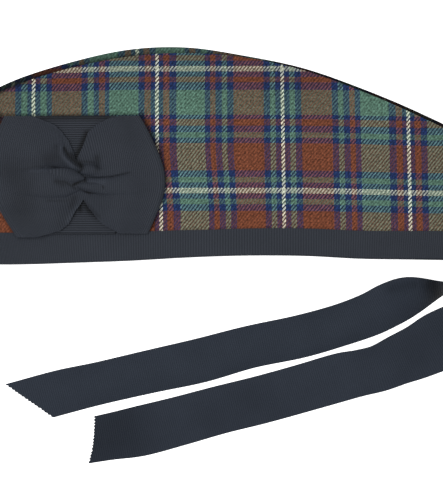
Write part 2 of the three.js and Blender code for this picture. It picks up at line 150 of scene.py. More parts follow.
def heading(path_x: Column, path_y: Column, at: Array, step: float) -> Array:
    """Returns the direction of a path on the plan at places from 0 to 1, measured a step on both sides."""
    ahead, behind = at + step, at - step
    return unit(rows(path_x(ahead) - path_x(behind), path_y(ahead) - path_y(behind)))


class NodeBoard:
    """A node tree with short calls for adding and joining its nodes."""

    def __init__(self, tree: bpy.types.NodeTree) -> None:
        """Takes over a material's or a group's node tree."""
        self.tree = tree

    def node(self, kind: str, **values: object) -> bpy.types.Node:
        """Adds a node.

        Args:
            kind: the node's type name, such as ShaderNodeMath.
            values: properties of the node.

        Returns:
            The new node.
        """
        made = self.tree.nodes.new(kind)
        for key, value in values.items():
            setattr(made, key, value)
        return made

    def feed(self, node: bpy.types.Node, **values: object) -> None:
        """Sets a node's inputs, named with _ for a space, to numbers, tuples or other nodes' outputs."""
        for title, value in values.items():
            self.join(node.inputs[title.replace("_", " ")], value)

    def join(self, socket: bpy.types.NodeSocket, value: object) -> None:
        """Sets one input.

        Args:
            socket: the input.
            value: a number, a tuple or an output socket.
        """
        if isinstance(value, bpy.types.NodeSocket):
            self.tree.links.new(value, socket)
        else:
            socket.default_value = value

    def math(self, operation: str, *inputs: object) -> bpy.types.NodeSocket:
        """Adds a Math node.

        Args:
            operation: the node's operation.
            inputs: numbers or sockets.

        Returns:
            The node's output.
        """
        made = self.node("ShaderNodeMath", operation=operation)
        for socket, value in zip(made.inputs, inputs):
            self.join(socket, value)
        return made.outputs[0]

    def mix(self, factor: object, first: object, second: object, blend: str = "MIX") -> bpy.types.NodeSocket:
        """Adds a colour Mix node.

        Args:
            factor: share of the second colour.
            first: first colour.
            second: second colour.
            blend: the node's blend type.

        Returns:
            The mixed colour.
        """
        made = self.node("ShaderNodeMix", data_type="RGBA", blend_type=blend)
        self.join(made.inputs["Factor"], factor)
        self.join(made.inputs[6], first)
        self.join(made.inputs[7], second)
        return made.outputs[2]

    def tint(self, colour: object, share: object) -> bpy.types.NodeSocket:
        """Multiplies a colour by a number.

        Args:
            colour: a colour.
            share: a number or a socket.

        Returns:
            The lighter or darker colour.
        """
        made = self.node("ShaderNodeCombineXYZ")
        self.feed(made, X=share, Y=share, Z=share)
        return self.mix(1.0, colour, made.outputs[0], "MULTIPLY")

    def grey(self, colour: bpy.types.NodeSocket) -> bpy.types.NodeSocket:
        """Adds a node that turns a colour to grey.

        Args:
            colour: a colour.

        Returns:
            How light it is.
        """
        made = self.node("ShaderNodeRGBToBW")
        self.join(made.inputs[0], colour)
        return made.outputs[0]

    def noise(self, where: bpy.types.NodeSocket, scale: float, detail: float) -> bpy.types.NodeSocket:
        """Adds a noise texture.

        Args:
            where: the coordinates that it reads.
            scale: its scale.
            detail: its detail.

        Returns:
            The noise value.
        """
        made = self.node("ShaderNodeTexNoise")
        self.feed(made, Vector=where, Scale=scale, Detail=detail)
        return made.outputs["Fac"]

    def spread(self, value: object, low: float, high: float) -> bpy.types.NodeSocket:
        """Adds a Map Range node from 0..1, which goes on in a straight line beyond them.

        Args:
            value: number or socket.
            low: result at 0.
            high: result at 1.

        Returns:
            The mapped value.
        """
        made = self.node("ShaderNodeMapRange", clamp=False)
        self.feed(made, Value=value, To_Min=low, To_Max=high)
        return made.outputs["Result"]


class GroupBoard(NodeBoard):
    """A shader node group with number inputs."""

    def __init__(self, name: str, inputs: Sequence[str], outputs: dict[str, str]) -> None:
        """Makes the group.

        Args:
            name: the group's name.
            inputs: names of its number inputs.
            outputs: names and socket types of its outputs.
        """
        super().__init__(bpy.data.node_groups.new(name, "ShaderNodeTree"))
        for title in inputs:
            self.tree.interface.new_socket(title, in_out="INPUT", socket_type="NodeSocketFloat")
        for title, kind in outputs.items():
            self.tree.interface.new_socket(title, in_out="OUTPUT", socket_type=kind)
        self.inputs = self.node("NodeGroupInput").outputs
        self.result = self.node("NodeGroupOutput")


@dataclass(frozen=True)
class Touch:
    """How a cloth takes the light: its relief in metres, how strongly it shows, its sheen and its gloss."""

    relief: float
    strength: float
    sheen: float
    sheen_roughness: float
    gloss: float


class ClothBoard(NodeBoard):
    """The nodes of a cloth's material, which reads its place on the flat cloth and its painted shade."""

    def __init__(self, name: str) -> None:
        """Makes the material.

        Args:
            name: the material's name.
        """
        self.material = bpy.data.materials.new(name)
        self.material.use_nodes = True
        super().__init__(self.material.node_tree)
        self.cloth = self.node("ShaderNodeUVMap", uv_map="cloth").outputs["UV"]
        split = self.node("ShaderNodeSeparateXYZ")
        self.feed(split, Vector=self.cloth)
        self.along, self.across = split.outputs[0], split.outputs[1]

    def dress(self, colour: object, shares: Sequence[object], rough: object, height: object,
              touch: Touch) -> bpy.types.Material:
        """Joins the colour, the roughness and the relief to the shader.

        Args:
            colour: the colour in full light.
            shares: numbers that make it lighter or darker.
            rough: the roughness.
            height: the relief, from about 0 to 1.
            touch: how the cloth takes the light.

        Returns:
            The finished material.
        """
        shader = self.tree.nodes["Principled BSDF"]
        # Painted shade from a point attribute darkens folds, gaps and shadows; below 0 it is a painted
        # highlight.
        depth = self.node("ShaderNodeAttribute", attribute_name="painted_shade")
        light = self.spread(depth.outputs["Fac"], 1.0, PAINTED_SHADE_FLOOR)
        for share in shares:
            light = self.math("MULTIPLY", light, share)
        bump = self.node("ShaderNodeBump")
        self.feed(bump, Strength=touch.strength, Distance=touch.relief, Height=height)
        self.feed(shader, Base_Color=self.tint(colour, light), Roughness=rough, Normal=bump.outputs["Normal"])
        shader.inputs["Sheen Weight"].default_value = touch.sheen
        shader.inputs["Sheen Roughness"].default_value = touch.sheen_roughness
        shader.inputs["Specular IOR Level"].default_value = touch.gloss
        return self.material


@dataclass(frozen=True)
class Yarn:
    """A dyed yarn: its name, its colour in linear light and how well it covers the yarn it crosses."""

    name: str
    colour: tuple[float, float, float]
    cover: float


CREAM = Yarn("cream", (0.460, 0.485, 0.385), 0.50)
NAVY = Yarn("navy", (0.0085, 0.0215, 0.0800), 0.70)
GREEN = Yarn("green", (0.0685, 0.1365, 0.1015), 0.50)
RUST = Yarn("rust", (0.1290, 0.0390, 0.0185), 0.62)

# Stripes from one cream line to the next, where the sett turns back: yarn, width along the warp's count and
# along the weft's, in millimetres. The cream lines count half.
SETT = (
    (CREAM, 0.90, 1.50),
    (NAVY, 2.70, 2.45),
    (GREEN, 3.15, 3.30),
    (NAVY, 3.20, 3.80),
    (RUST, 16.45, 14.45),
    (NAVY, 3.20, 2.90),
    (GREEN, 3.20, 2.80),
    (NAVY, 3.15, 3.65),
    (RUST, 3.15, 3.60),
    (NAVY, 2.70, 2.40),
    (GREEN, 15.50, 13.85),
    (NAVY, 3.60, 4.40),
    (RUST, 3.20, 2.90),
    (NAVY, 2.75, 2.85),
    (CREAM, 0.90, 1.65),
)


@dataclass(frozen=True)
class Threads:
    """One of the two directions of the weave.

    It has a name, an axis on the cloth, a thread pitch in metres and the place on a thread where the sett
    turns back, from its edge at 0 to its middle at 0.5.
    """

    name: str
    axis: int
    pitch: float
    turn: float

    def stripes(self) -> list[tuple[Yarn, float]]:
        """Returns the yarns with the share of the half sett where each one starts."""
        widths = [row[1 + self.axis] for row in SETT]
        return [(row[0], sum(widths[:i]) / sum(widths)) for i, row in enumerate(SETT)]

    def count(self) -> float:
        """Returns the number of threads in half a sett."""
        return sum(row[1 + self.axis] for row in SETT) * MM / self.pitch


WARP = Threads("warp", 0, 0.481 * MM, 0.0)
WEFT = Threads("weft", 1, 0.593 * MM, 0.5)


@dataclass(frozen=True)
class TartanFinish:
    """Woven wool in a 2/2 twill, with the sett in both directions. A noise has a scale and a detail."""

    name: str = "tartan_twill"
    blur: float = 0.68
    contrast: float = 0.85
    # facing: painted light, warp floats lighter and weft floats darker as they take the light differently
    facing: float = 0.23
    grain: float = 1.4
    nap: float = 0.6
    sway: float = 0.9
    uneven: Pair = (0.84, 1.12)
    wear: Pair = (0.90, 1.10)
    # valley: painted shade in the hollows between the threads, from the weave's relief
    valley: Pair = (0.80, 1.06)
    roughness: Pair = (0.82, 0.96)
    sway_noise: Pair = (90.0, 2.0)
    wear_noise: Pair = (42.0, 4.0)
    grain_noise: Pair = (850.0, 3.0)
    rough_noise: Pair = (900.0, 2.0)
    nap_noise: Pair = (2600.0, 3.0)
    touch: Touch = Touch(relief=0.00016, strength=0.55, sheen=0.06, sheen_roughness=0.6, gloss=0.1)

    def sett_group(self, way: Threads) -> bpy.types.NodeTree:
        """Makes the group that gives the yarn colour and cover of a thread by its number from a cream line.

        Args:
            way: the warp or the weft.

        Returns:
            The group.
        """
        outputs = {"Colour": "NodeSocketColor", "Cover": "NodeSocketFloat"}
        board = GroupBoard(f"{way.name}_yarn", ["Thread"], outputs)
        middle = board.math("ADD", board.math("FLOOR", board.inputs["Thread"]), 0.5 - way.turn)
        place = board.math("PINGPONG", board.math("DIVIDE", middle, way.count()), 1.0)
        ramp = board.node("ShaderNodeValToRGB")
        ramp.color_ramp.interpolation = "CONSTANT"
        stops = ramp.color_ramp.elements
        for index, (yarn, start) in enumerate(way.stripes()):
            stop = stops[0] if index == 0 else stops.new(start)
            stop.position = start
            stop.color = (*yarn.colour, yarn.cover)
        stops.remove(stops[len(stops) - 1])
        board.feed(ramp, Fac=place)
        board.feed(board.result, Colour=ramp.outputs["Color"], Cover=ramp.outputs["Alpha"])
        return board.tree

    def twill_group(self) -> bpy.types.NodeTree:
        """Returns the group that says which yarn lies on top, and how high it stands."""
        outputs = {"Warp over": "NodeSocketFloat", "Height": "NodeSocketFloat"}
        board = GroupBoard("twill_two_two", ["Warp", "Weft"], outputs)
        warp, weft = board.inputs["Warp"], board.inputs["Weft"]
        step = board.math("SUBTRACT", board.math("FLOOR", warp), board.math("FLOOR", weft))
        over = board.math("LESS_THAN", board.math("FLOORED_MODULO", step, 4.0), 1.5)
        rounds = []
        for thread in (warp, weft):
            aside = board.math("MULTIPLY_ADD", board.math("FRACT", thread), 2.0, -1.0)
            rounds.append(board.math("SUBTRACT", 1.0, board.math("MULTIPLY", aside, aside)))
        rise = board.math("MULTIPLY", over, board.math("SUBTRACT", *rounds))
        board.feed(board.result, Warp_over=over, Height=board.math("ADD", rounds[1], rise))
        return board.tree

    def build(self) -> bpy.types.Material:
        """Returns the finished material."""
        board = ClothBoard(self.name)
        sway = board.math("SUBTRACT", board.noise(board.cloth, *self.sway_noise), 0.5)
        sway = board.math("MULTIPLY", sway, self.sway)
        counts, colours, covers = [], [], []
        for way, place in ((WARP, board.along), (WEFT, board.across)):
            count = board.math("ADD", board.math("DIVIDE", place, way.pitch), sway)
            yarn = board.node("ShaderNodeGroup", node_tree=self.sett_group(way))
            uneven = board.node("ShaderNodeTexWhiteNoise", noise_dimensions="1D")
            board.feed(yarn, Thread=count)
            board.feed(uneven, W=board.math("FLOOR", count))
            counts.append(count)
            covers.append(yarn.outputs["Cover"])
            share = board.spread(uneven.outputs["Value"], *self.uneven)
            colours.append(board.tint(yarn.outputs["Colour"], share))
        twill = board.node("ShaderNodeGroup", node_tree=self.twill_group())
        board.feed(twill, Warp=counts[0], Weft=counts[1])
        warp_over, height = twill.outputs["Warp over"], twill.outputs["Height"]
        over = board.mix(warp_over, colours[1], colours[0])
        blend = board.mix(board.math("DIVIDE", covers[0], board.math("ADD", *covers)), colours[1], colours[0])
        contrast = board.math("DIVIDE", board.grey(over), board.grey(blend))
        contrast = board.math("POWER", contrast, self.contrast)
        woven = board.mix(self.blur, over, board.tint(blend, contrast))
        shares = [
            board.spread(board.noise(board.cloth, *self.grain_noise), 1.0 - self.grain, 1.0 + self.grain),
            board.spread(board.noise(board.cloth, *self.wear_noise), *self.wear),
            # Painted shade in the hollows between the threads, following the weave's relief.
            board.spread(height, *self.valley),
            # Painted light: warp floats lighter and weft floats darker, as they face the light differently.
            board.spread(warp_over, 1.0 - self.facing, 1.0 + self.facing),
        ]
        rough = board.spread(board.noise(board.cloth, *self.rough_noise), *self.roughness)
        nap = board.math("MULTIPLY_ADD", board.noise(board.cloth, *self.nap_noise), self.nap, height)
        return board.dress(woven, shares, rough, nap, self.touch)


def rib_group() -> bpy.types.NodeTree:
    """Returns the group for the fine cross ribs of corded ribbon."""
    outputs = {"Rib": "NodeSocketFloat", "Thread": "NodeSocketFloat"}
    board = GroupBoard("cross_ribs", ["Along", "Across", "Rib pitch"], outputs)
    along, across, pitch = board.inputs[:3]
    turn = board.math("MULTIPLY", board.math("DIVIDE", along, pitch), math.pi)
    weave = board.math("MULTIPLY", board.math("DIVIDE", across, pitch), 2.0 * math.pi)
    thread = board.math("MULTIPLY_ADD", board.math("SINE", weave), 0.5, 0.5)
    board.feed(board.result, Rib=board.math("ABSOLUTE", board.math("SINE", turn)), Thread=thread)
    return board.tree


@dataclass(frozen=True)
class RibbonFinish:
    """Corded ribbon with fine ribs across its length. A noise has a scale and a detail."""

    name: str
    colour: tuple[float, float, float]
    # rib_contrast and rib_light set the painted shade in the rib grooves and the painted light on the cords.
    rib_contrast: float
    rib_light: float = 0.45
    rib_pitch: float = 1.15 * MM
    thread: float = 0.25
    cast: Pair = (0.86, 1.14)
    fleck: Pair = (0.88, 1.12)
    roughness: Pair = (0.76, 0.62)
    cast_noise: Pair = (60.0, 4.0)
    fleck_noise: Pair = (1900.0, 2.0)
    touch: Touch = Touch(relief=0.0002, strength=0.7, sheen=0.02, sheen_roughness=0.5, gloss=0.12)

    def build(self, ribs: bpy.types.NodeTree) -> bpy.types.Material:
        """Makes the material.

        Args:
            ribs: the node group of the cross ribs.

        Returns:
            The finished material.
        """
        board = ClothBoard(self.name)
        cords = board.node("ShaderNodeGroup", node_tree=ribs)
        board.feed(cords, Along=board.along, Across=board.across, Rib_pitch=self.rib_pitch)
        rib = cords.outputs["Rib"]
        shares = [
            # Painted shade in the grooves between the ribs and painted light on their cords.
            board.spread(rib, 1.0 - self.rib_contrast, 1.0 + self.rib_light * self.rib_contrast),
            board.spread(board.noise(board.cloth, *self.cast_noise), *self.cast),
            board.spread(board.noise(board.cloth, *self.fleck_noise), *self.fleck),
        ]
        height = board.math("MULTIPLY_ADD", cords.outputs["Thread"], self.thread, rib)
        rough = board.spread(rib, *self.roughness)
        return board.dress((*self.colour, 1.0), shares, rough, height, self.touch)


@dataclass(frozen=True)
class Cut:
    """How a sheet was cut and laid: its flat size and area in metres, how it is held and what it lies on."""

    width: float
    length: float
    held: Held
    area: Optional[float] = None
    rests_on: tuple[str, ...] = ()


def deselect() -> None:
    """Leaves edit mode and clears the selection."""
    if bpy.context.object and bpy.context.object.mode != "OBJECT":
        bpy.ops.object.mode_set(mode="OBJECT")
    bpy.ops.object.select_all(action="DESELECT")


class Sheet(ABC):
    """A sheet of cloth, shaped at places along and across it from 0 to 1, in millimetres."""

    @abstractmethod
    def surface(self, along: Array, across: Array) -> Array:
        """Returns rows of points in space."""

    @abstractmethod
    def cloth(self, along: Array, across: Array) -> Array:
        """Returns rows of places on the flat cloth."""

    def painted_shade(self, along: Array, across: Array) -> Optional[Array]:
        """Returns the painted shade on the sheet, 1 at the darkest, below 0 a painted highlight, or None."""
        return None

    def make(self, name: str, counts: tuple[int, int], wall: float, ring: bool = False) -> bpy.types.Object:
        """Makes the sheet from a grid, with its wall, unturned at the origin.

        Args:
            name: the new object's name.
            counts: faces along and across the sheet.
            wall: thickness of the cloth.
            ring: whether the sheet closes along its length.

        Returns:
            The sheet.
        """
        deselect()
        bpy.ops.mesh.primitive_grid_add(
            x_subdivisions=counts[0], y_subdivisions=counts[1], size=2.0, calc_uvs=True
        )
        piece = bpy.context.active_object
        piece.name = name
        mesh = piece.data
        mesh.name = name
        corners = np.empty(len(mesh.vertices) * 3)
        mesh.vertices.foreach_get("co", corners)
        along, across = ((corners.reshape(-1, 3)[:, :2] + 1.0) / 2.0).T
        mesh.vertices.foreach_set("co", (self.surface(along, across) * MM).ravel())
        owners = np.empty(len(mesh.loops), dtype=int)
        mesh.loops.foreach_get("vertex_index", owners)
        layer = mesh.uv_layers.active
        layer.name = "cloth"
        layer.data.foreach_set("uv", (self.cloth(along, across) * MM)[owners].ravel())
        # Painted shade and painted highlights go into a point attribute that the material reads.
        depth = self.painted_shade(along, across)
        if depth is not None:
            mesh.attributes.new("painted_shade", "FLOAT", "POINT").data.foreach_set("value", depth)
        mesh.update()
        if ring:
            bpy.ops.object.mode_set(mode="EDIT")
            bpy.ops.mesh.select_all(action="SELECT")
            bpy.ops.mesh.remove_doubles(threshold=SEAM)
            bpy.ops.object.mode_set(mode="OBJECT")
        solid = piece.modifiers.new("wall", "SOLIDIFY")
        solid.thickness = wall * MM
        solid.offset = 0.0
        solid.use_even_offset = True
        bpy.ops.object.modifier_apply(modifier=solid.name)
        bpy.ops.object.shade_smooth_by_angle(angle=SMOOTH_ANGLE)
        return piece


def hand_over(piece: bpy.types.Object, node: str, material: bpy.types.Material) -> None:
    """Dresses a sheet, hangs it on the root body and hides the CAD node that it replaces.

    Args:
        piece: the sheet.
        node: the CAD node that it replaces.
        material: its finish.
    """
    piece.data.materials.clear()
    piece.data.materials.append(material)
    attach(piece, "root")
    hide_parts(node)
    LOG.info("%s: %d faces", piece.name, len(piece.data.polygons))


@dataclass(frozen=True)
class Beside:
    """Places on the plan beside a line: how far off, how far along it from 0 to 1, and if on its left."""

    distance: Array
    place: Array
    left: Array

    @classmethod
    def of(cls, line: Line, x: Array, y: Array) -> "Beside":
        """Measures places on the plan.

        Args:
            line: a line of straight runs.
            x: places along the cap.
            y: places up the cap.

        Returns:
            The distance, the place and the side for each.
        """
        at = rows(x, y)
        distance, place = np.full(len(at), np.inf), np.zeros(len(at))
        left = np.zeros(len(at), dtype=bool)
        for index, (start, end) in enumerate(zip(line, line[1:])):
            run = np.subtract(end, start)
            share = np.clip((at - start) @ run / (run @ run), 0.0, 1.0)
            off = at - start - share[:, None] * run
            away = np.linalg.norm(off, axis=-1)
            nearer = away < distance
            distance = np.where(nearer, away, distance)
            place = np.where(nearer, (index + share) / (len(line) - 1), place)
            left = np.where(nearer, run[0] * off[:, 1] - run[1] * off[:, 0] > 0, left)
        return cls(distance, place, left)


@dataclass(frozen=True)
class Shade:
    """A stroke of painted shade or highlight: a line on the plan, its half width and how strong it is."""

    line: Line
    half: float
    depth: float

    def over(self, x: Array, y: Array) -> Array:
        """Returns how strong the painted shade is at places on the plan."""
        return self.depth * np.exp(-((Beside.of(self.line, x, y).distance / self.half) ** 2))


def strongest_shade(shades: Sequence[Shade], x: Array, y: Array) -> Array:
    """Returns the strongest of some painted shades at places on the plan."""
    return np.max([shade.over(x, y) for shade in shades], axis=0)


# Sections of a side from front to back, in millimetres. far_rise is how far the lower crest stands beyond the
# upper one.
SIDE_KEYS = ("rim_x", "rim_y", "crest_x", "crest_y", "far_rise")
SIDE = (
    (-142.8, -56.1, -143.0, 12.0, 0.3),
    (-128.1, -56.0, -136.5, 29.5, 2.6),
    (-109.0, -55.8, -121.5, 38.7, 3.4),
    (-84.5, -55.0, -92.7, 48.5, 3.5),
    (-54.5, -53.9, -57.2, 56.0, 4.2),
    (-24.5, -52.2, -24.5, 58.1, 3.6),
    (8.2, -51.1, 8.2, 55.7, 1.4),
    (40.9, -51.3, 40.9, 48.4, 1.7),
    (70.9, -52.8, 73.6, 36.5, 2.1),
    (98.1, -53.2, 103.6, 23.4, 2.5),
    (122.6, -53.6, 127.0, 11.2, 2.4),
    (142.2, -54.2, 141.2, -3.4, 0.8),
)


@dataclass(frozen=True)
class Pull:
    """How the sewing draws the weave aside.

    x and y say where it begins and is full, along and up the cap, and end where it dies away along the cap.
    along and up are how far it goes.
    """

    x: Pair
    y: Pair
    along: float
    up: float
    end: Pair = (500.0, 600.0)

    def share(self, x: Array, y: Array) -> Array:
        """Returns how much of the pull acts at places on the plan."""
        rise = smoothstep(x, *self.x) * (1.0 - smoothstep(x, *self.end))
        return rise * np.clip((y - self.y[0]) / (self.y[1] - self.y[0]), 0.0, 1.0)


WHOLE_HEIGHT = (60.0, 59.0)  # full from the crest down
PULLS = (
    Pull((-20.0, 60.0), (50.0, -50.0), -1.9, 0.0),
    Pull((-40.0, -140.0), WHOLE_HEIGHT, -0.8, 0.0),
    Pull((-90.0, -50.0), (5.0, -28.0), -2.2, 0.0, end=(-10.0, 32.0)),
    Pull((10.0, -20.0), (5.0, 30.0), 0.2, 0.0),
    Pull((30.0, 60.0), WHOLE_HEIGHT, -0.3, 0.0),
    Pull((28.0, 122.0), (50.0, 12.0), 0.0, 1.5),
    Pull((-55.0, -95.0), WHOLE_HEIGHT, 0.0, 0.8),
)

# Painted shade on the upper side: the turn to the crest, shadows by the cockade's edges and the far back.
UPPER_SHADES = (
    Shade(tuple((row[2], row[3]) for row in SIDE[1:8]), 20.0, 0.19),
    Shade(((-124.0, 24.0), (-103.5, 24.0), (-64.0, 24.0), (-47.0, 23.4)), 1.1, 0.62),
    Shade(((-48.2, 24.2), (-43.0, 14.0), (-37.6, 3.0)), 1.8, 0.88),
    Shade(((-124.6, 24.0), (-126.5, 17.0)), 2.2, 0.85),
    Shade(((-130.0, 34.4), (-121.5, 38.6), (-111.0, 42.6)), 1.3, 0.80),
    Shade(((140.0, -45.0), (132.0, 8.0)), 32.0, 0.16),
    Shade(
        ((-37.2, 1.0), (-36.0, -4.5), (-35.4, -13.1), (-37.6, -23.4), (-39.8, -28.9), (-42.5, -36.0)),
        1.3,
        0.78,
    ),
    Shade(((-125.2, -25.6), (-118.2, -39.4)), 0.7, 0.30),
)

UPPER_WEAVE = (-28.3, 17.15)  # from the plan to the sett on the upper side, in millimetres
LOWER_WEAVE = (118.5, -10.6)  # the same on the lower side and the crown


@dataclass
class CapBody:
    """The shape of the folded cap, in millimetres, which the sides, the crown and the band follow."""

    cloth: float = 1.5
    cloth_seen: float = 1.35
    ribbon_seen: float = 0.6
    gap: float = 0.3
    ribbon: float = 1.0
    half_length: float = 147.2
    rim_level: float = -54.0
    side_height: float = 112.0
    end_round: float = 4.5
    end_rim_z: float = 10.2
    end_crest_z: float = 7.0
    rim_loft: float = 9.0
    crest_loft: float = 2.5
    bulge: float = 3.0
    band_height: float = 16.0
    band_ease_start: float = 17.0
    band_ease: float = 12.0
    # Painted shade in the fold between the crests, by place along the cap.
    crest_dark_x: tuple[float, ...] = (-140, -112, -88, -70, -10, 10, 32, 140)
    crest_dark: tuple[float, ...] = (0.93, 0.90, 0.55, 0.30, 0.30, 0.55, 0.93, 0.95)

    def __post_init__(self) -> None:
        """Makes the smooth columns of the side's table and works out the band's place."""
        self.side = columns(SIDE_KEYS, SIDE)
        self.band_reach = self.cloth / 2 + self.gap + self.ribbon / 2
        self.band_dip = self.gap + self.ribbon / 2
        self.band_seat = self.band_reach + self.ribbon / 2

    def length(self, t: Array) -> Array:
        """Returns the rim to crest length of a section."""
        return self.side["crest_y"](t) - self.side["rim_y"](t)

    def crest_shade(self, x: Array) -> Array:
        """Returns the painted shade of the fold between the two crests along the cap."""
        return np.interp(x, self.crest_dark_x, self.crest_dark)

    def loft(self, x: Array, y: Array) -> Array:
        """Finds the upper side's cloth over a place on the plan.

        Args:
            x: places along the cap.
            y: places up the cap.

        Returns:
            The height of the middle of the cloth.
        """
        up = np.clip((y - self.rim_level) / self.side_height, 0.0, 1.0)
        arch = 1.0 - (x / self.half_length) ** 2
        full = lerp(self.rim_loft, self.crest_loft, up) + self.bulge * np.sin(np.pi * up)
        return lerp(self.end_rim_z, self.end_crest_z, up) + arch * full

    def section(self, place: Array) -> Array:
        """Returns the place in the side's table for places from 0 to 4 round the cap."""
        return np.interp(place, QUARTERS, (0.0, 1.0, 1.0, 0.0, 0.0))

    def point(self, place: Array, height: Array) -> Array:
        """Finds points in the middle of the cloth.

        Args:
            place: 0 to 1 along the upper side, 1 to 2 round the back, 2 to 3 along the lower side, 3 to 4
                round the front.
            height: height over the rim, along the side.

        Returns:
            Rows of x, y and z.
        """
        w = np.mod(place, 4.0)
        t = self.section(w)
        turn = np.interp(w, QUARTERS, (0.0, 0.0, 1.0, 1.0, 2.0)) * np.pi
        share = height / self.length(t)
        lower = (1.0 - np.cos(turn)) / 2.0
        x = lerp(self.side["rim_x"](t), self.side["crest_x"](t), share)
        y = lerp(self.side["rim_y"](t), self.side["crest_y"](t) + lower * self.side["far_rise"](t), share)
        top = self.loft(x, y)
        settled = smoothstep(height, self.band_ease_start, self.band_ease_start + self.band_ease)
        floor = lerp(self.band_seat, self.cloth / 2, settled)
        z = (top + floor) / 2 + np.cos(turn) * (top - floor) / 2
        rounding = self.end_round * (1.0 - np.clip(share, 0.0, 1.0) ** 3)
        return rows(x + rounding * np.sin(turn), y, z)

    def facing(self, place: Array, height: Array) -> Array:
        """Finds the outward directions of the cloth.

        Args:
            place: places from 0 to 4 round the cap.
            height: height over the rim.

        Returns:
            Rows of directions at length one.
        """
        step = 1e-3
        along = self.point(place + step, height) - self.point(place - step, height)
        up = self.point(place, height + step) - self.point(place, height - step)
        return unit(np.cross(along, up))

    def fold_reach(self, place: Array, height: Array) -> Array:
        """Measures how far the cloth has gone round the front fold or the back fold.

        Args:
            place: places on the upper side, below 0 round the front and above 1 round the back.
            height: height over the rim.

        Returns:
            The lengths, below 0 at the front.
        """
        start = np.clip(place, 0.0, 1.0)
        total = np.zeros_like(start)
        before = self.point(start, height)
        for share in np.linspace(0.0, 1.0, 9)[1:]:
            after = self.point(lerp(start, place, share), height)
            total += np.linalg.norm(after - before, axis=-1)
            before = after
        return np.sign(place - start) * total


@dataclass
class SidePanel(Sheet):
    """One tartan side, from the front seam to the back seam: the upper one, or the lower one on the floor.

    turns are the shares of its length where the end folds begin and end, and crest_edge is the share of its
    height above which the lower side takes the painted shade of the fold between the crests.
    """

    body: CapBody
    node: str
    lower: bool
    counts: tuple[int, int]
    seam: float = 0.026
    turns: tuple[float, ...] = (0.0, 0.05, 0.95, 1.0)
    crest_edge: float = 0.99
    cut: Cut = Cut(0.310, 0.115, Held.STRETCHED, 0.0285)

    def where(self, along: Array, across: Array) -> tuple[Array, Array]:
        """Finds places on the cap.

        Args:
            along: places along the side.
            across: places across it.

        Returns:
            The places from seam to seam, as if on the upper side, and the heights over the rim.
        """
        ends = (-0.5 + self.seam, 0.0, 1.0, 1.5 - self.seam)
        place = np.interp(along, self.turns, ends)
        t = np.clip(1.0 - place if self.lower else place, 0.0, 1.0)
        return place, across * self.body.length(t)

    def at(self, place: Array, height: Array) -> Array:
        """Returns points on this side for places as if on the upper side."""
        return self.body.point(place + (2.0 if self.lower else 0.0), height)

    def surface(self, along: Array, across: Array) -> Array:
        """Returns the side's points in space."""
        return self.at(*self.where(along, across))

    def cloth(self, along: Array, across: Array) -> Array:
        """Lays the side's cloth flat, with the weave drawn aside where the sewing pulls it.

        Args:
            along: places along the side.
            across: places across it.

        Returns:
            Rows of places on the sett.
        """
        place, height = self.where(along, across)
        x, y, _ = self.at(np.clip(place, 0.0, 1.0), height).T
        if self.lower:
            return rows(x, y) + LOWER_WEAVE
        x = x + self.body.fold_reach(place, height)
        pulls = [np.outer(pull.share(x, y), (pull.along, pull.up)) for pull in PULLS]
        return rows(x, y) + UPPER_WEAVE + sum(pulls)

    def painted_shade(self, along: Array, across: Array) -> Array:
        """Paints shade on the lower side's crest, or on the upper side round the cockade and towards the
        crest.

        Args:
            along: places along the side.
            across: places across it.

        Returns:
            How strong the painted shade is.
        """
        x, y, _ = self.surface(along, across).T
        if self.lower:
            return self.body.crest_shade(x) * (across > self.crest_edge)
        return strongest_shade(UPPER_SHADES, x, y)

    def build(self, material: bpy.types.Material) -> None:
        """Builds the side in its finish."""
        piece = self.make(f"{self.node}_cloth", self.counts, self.body.cloth_seen)
        hand_over(piece, self.node, material)


